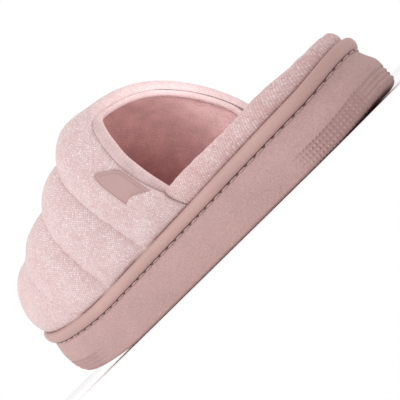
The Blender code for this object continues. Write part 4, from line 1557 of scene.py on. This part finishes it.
class SLIPPER_OT_rim(PieceMaker, bpy.types.Operator):
    """Make the padded rim round the heel"""

    bl_idname = "slipper.rim"
    bl_label = "Heel rim"

    def execute(self, context):
        sizes, colours = self.settings(context)
        heel_rim(knit_finish("rim_knit", sizes, colours.rim, colours.shimmer, RIM_FUZZ),
                 plush_finish("rim_plush", sizes, colours.footbed, LONG_PILE))
        return {"FINISHED"}


class SLIPPER_OT_footbed(PieceMaker, bpy.types.Operator):
    """Make the plush footbed"""

    bl_idname = "slipper.footbed"
    bl_label = "Footbed"

    def execute(self, context):
        sizes, colours = self.settings(context)
        footbed(plush_finish("footbed_plush", sizes, colours.footbed, LONG_PILE))
        return {"FINISHED"}


class SLIPPER_OT_patch(PieceMaker, bpy.types.Operator):
    """Make the bare patch on the inner side"""

    bl_idname = "slipper.patch"
    bl_label = "Patch"

    def execute(self, context):
        sizes, colours = self.settings(context)
        patch_piece(patch_finish("patch_soft", colours.patch), sizes)
        return {"FINISHED"}


class SLIPPER_OT_stage(PieceMaker, bpy.types.Operator):
    """Make the floor, the lights and the camera"""

    bl_idname = "slipper.stage"
    bl_label = "Studio"

    def execute(self, context):
        colours = self.settings(context)[1]
        add_floor(matte_finish("floor_matte", colours.floor, FLOOR_CLOUD, FLOOR_TONE))
        for row in LIGHTS:
            add_light(row)
        add_sky()
        add_camera()
        context.scene.view_settings.view_transform = "Standard"
        return {"FINISHED"}


MAKERS = (SLIPPER_OT_sole, SLIPPER_OT_strip, SLIPPER_OT_vamp, SLIPPER_OT_collar, SLIPPER_OT_rim,
          SLIPPER_OT_footbed, SLIPPER_OT_patch, SLIPPER_OT_stage)


class SLIPPER_PT_sidebar(bpy.types.Panel):
    """Sizes, colours and makers of the slipper"""

    bl_idname = "SLIPPER_PT_sidebar"
    bl_label = "Slipper"
    bl_space_type = "VIEW_3D"
    bl_region_type = "UI"
    bl_category = "Slipper"

    def draw(self, context):
        for group in (context.scene.slipper_sizes, context.scene.slipper_colours):
            box = self.layout.box()
            for name in group.__annotations__:
                box.prop(group, name)
        for maker in MAKERS:
            self.layout.operator(maker.bl_idname)


CLASSES = (SlipperSizes, SlipperColours, *MAKERS, SLIPPER_PT_sidebar)


def register():
    for kind in CLASSES:
        bpy.utils.register_class(kind)
    bpy.types.Scene.slipper_sizes = PointerProperty(type=SlipperSizes)
    bpy.types.Scene.slipper_colours = PointerProperty(type=SlipperColours)


def unregister():
    del bpy.types.Scene.slipper_colours
    del bpy.types.Scene.slipper_sizes
    for kind in reversed(CLASSES):
        bpy.utils.unregister_class(kind)


def main():
    """Make all pieces and the studio."""
    register()
    bpy.ops.slipper.sole()
    bpy.ops.slipper.strip()
    bpy.ops.slipper.vamp()
    bpy.ops.slipper.collar()
    bpy.ops.slipper.rim()
    bpy.ops.slipper.footbed()
    bpy.ops.slipper.patch()
    bpy.ops.slipper.stage()
    bpy.context.view_layer.update()


if __name__ == "__main__":
    main()
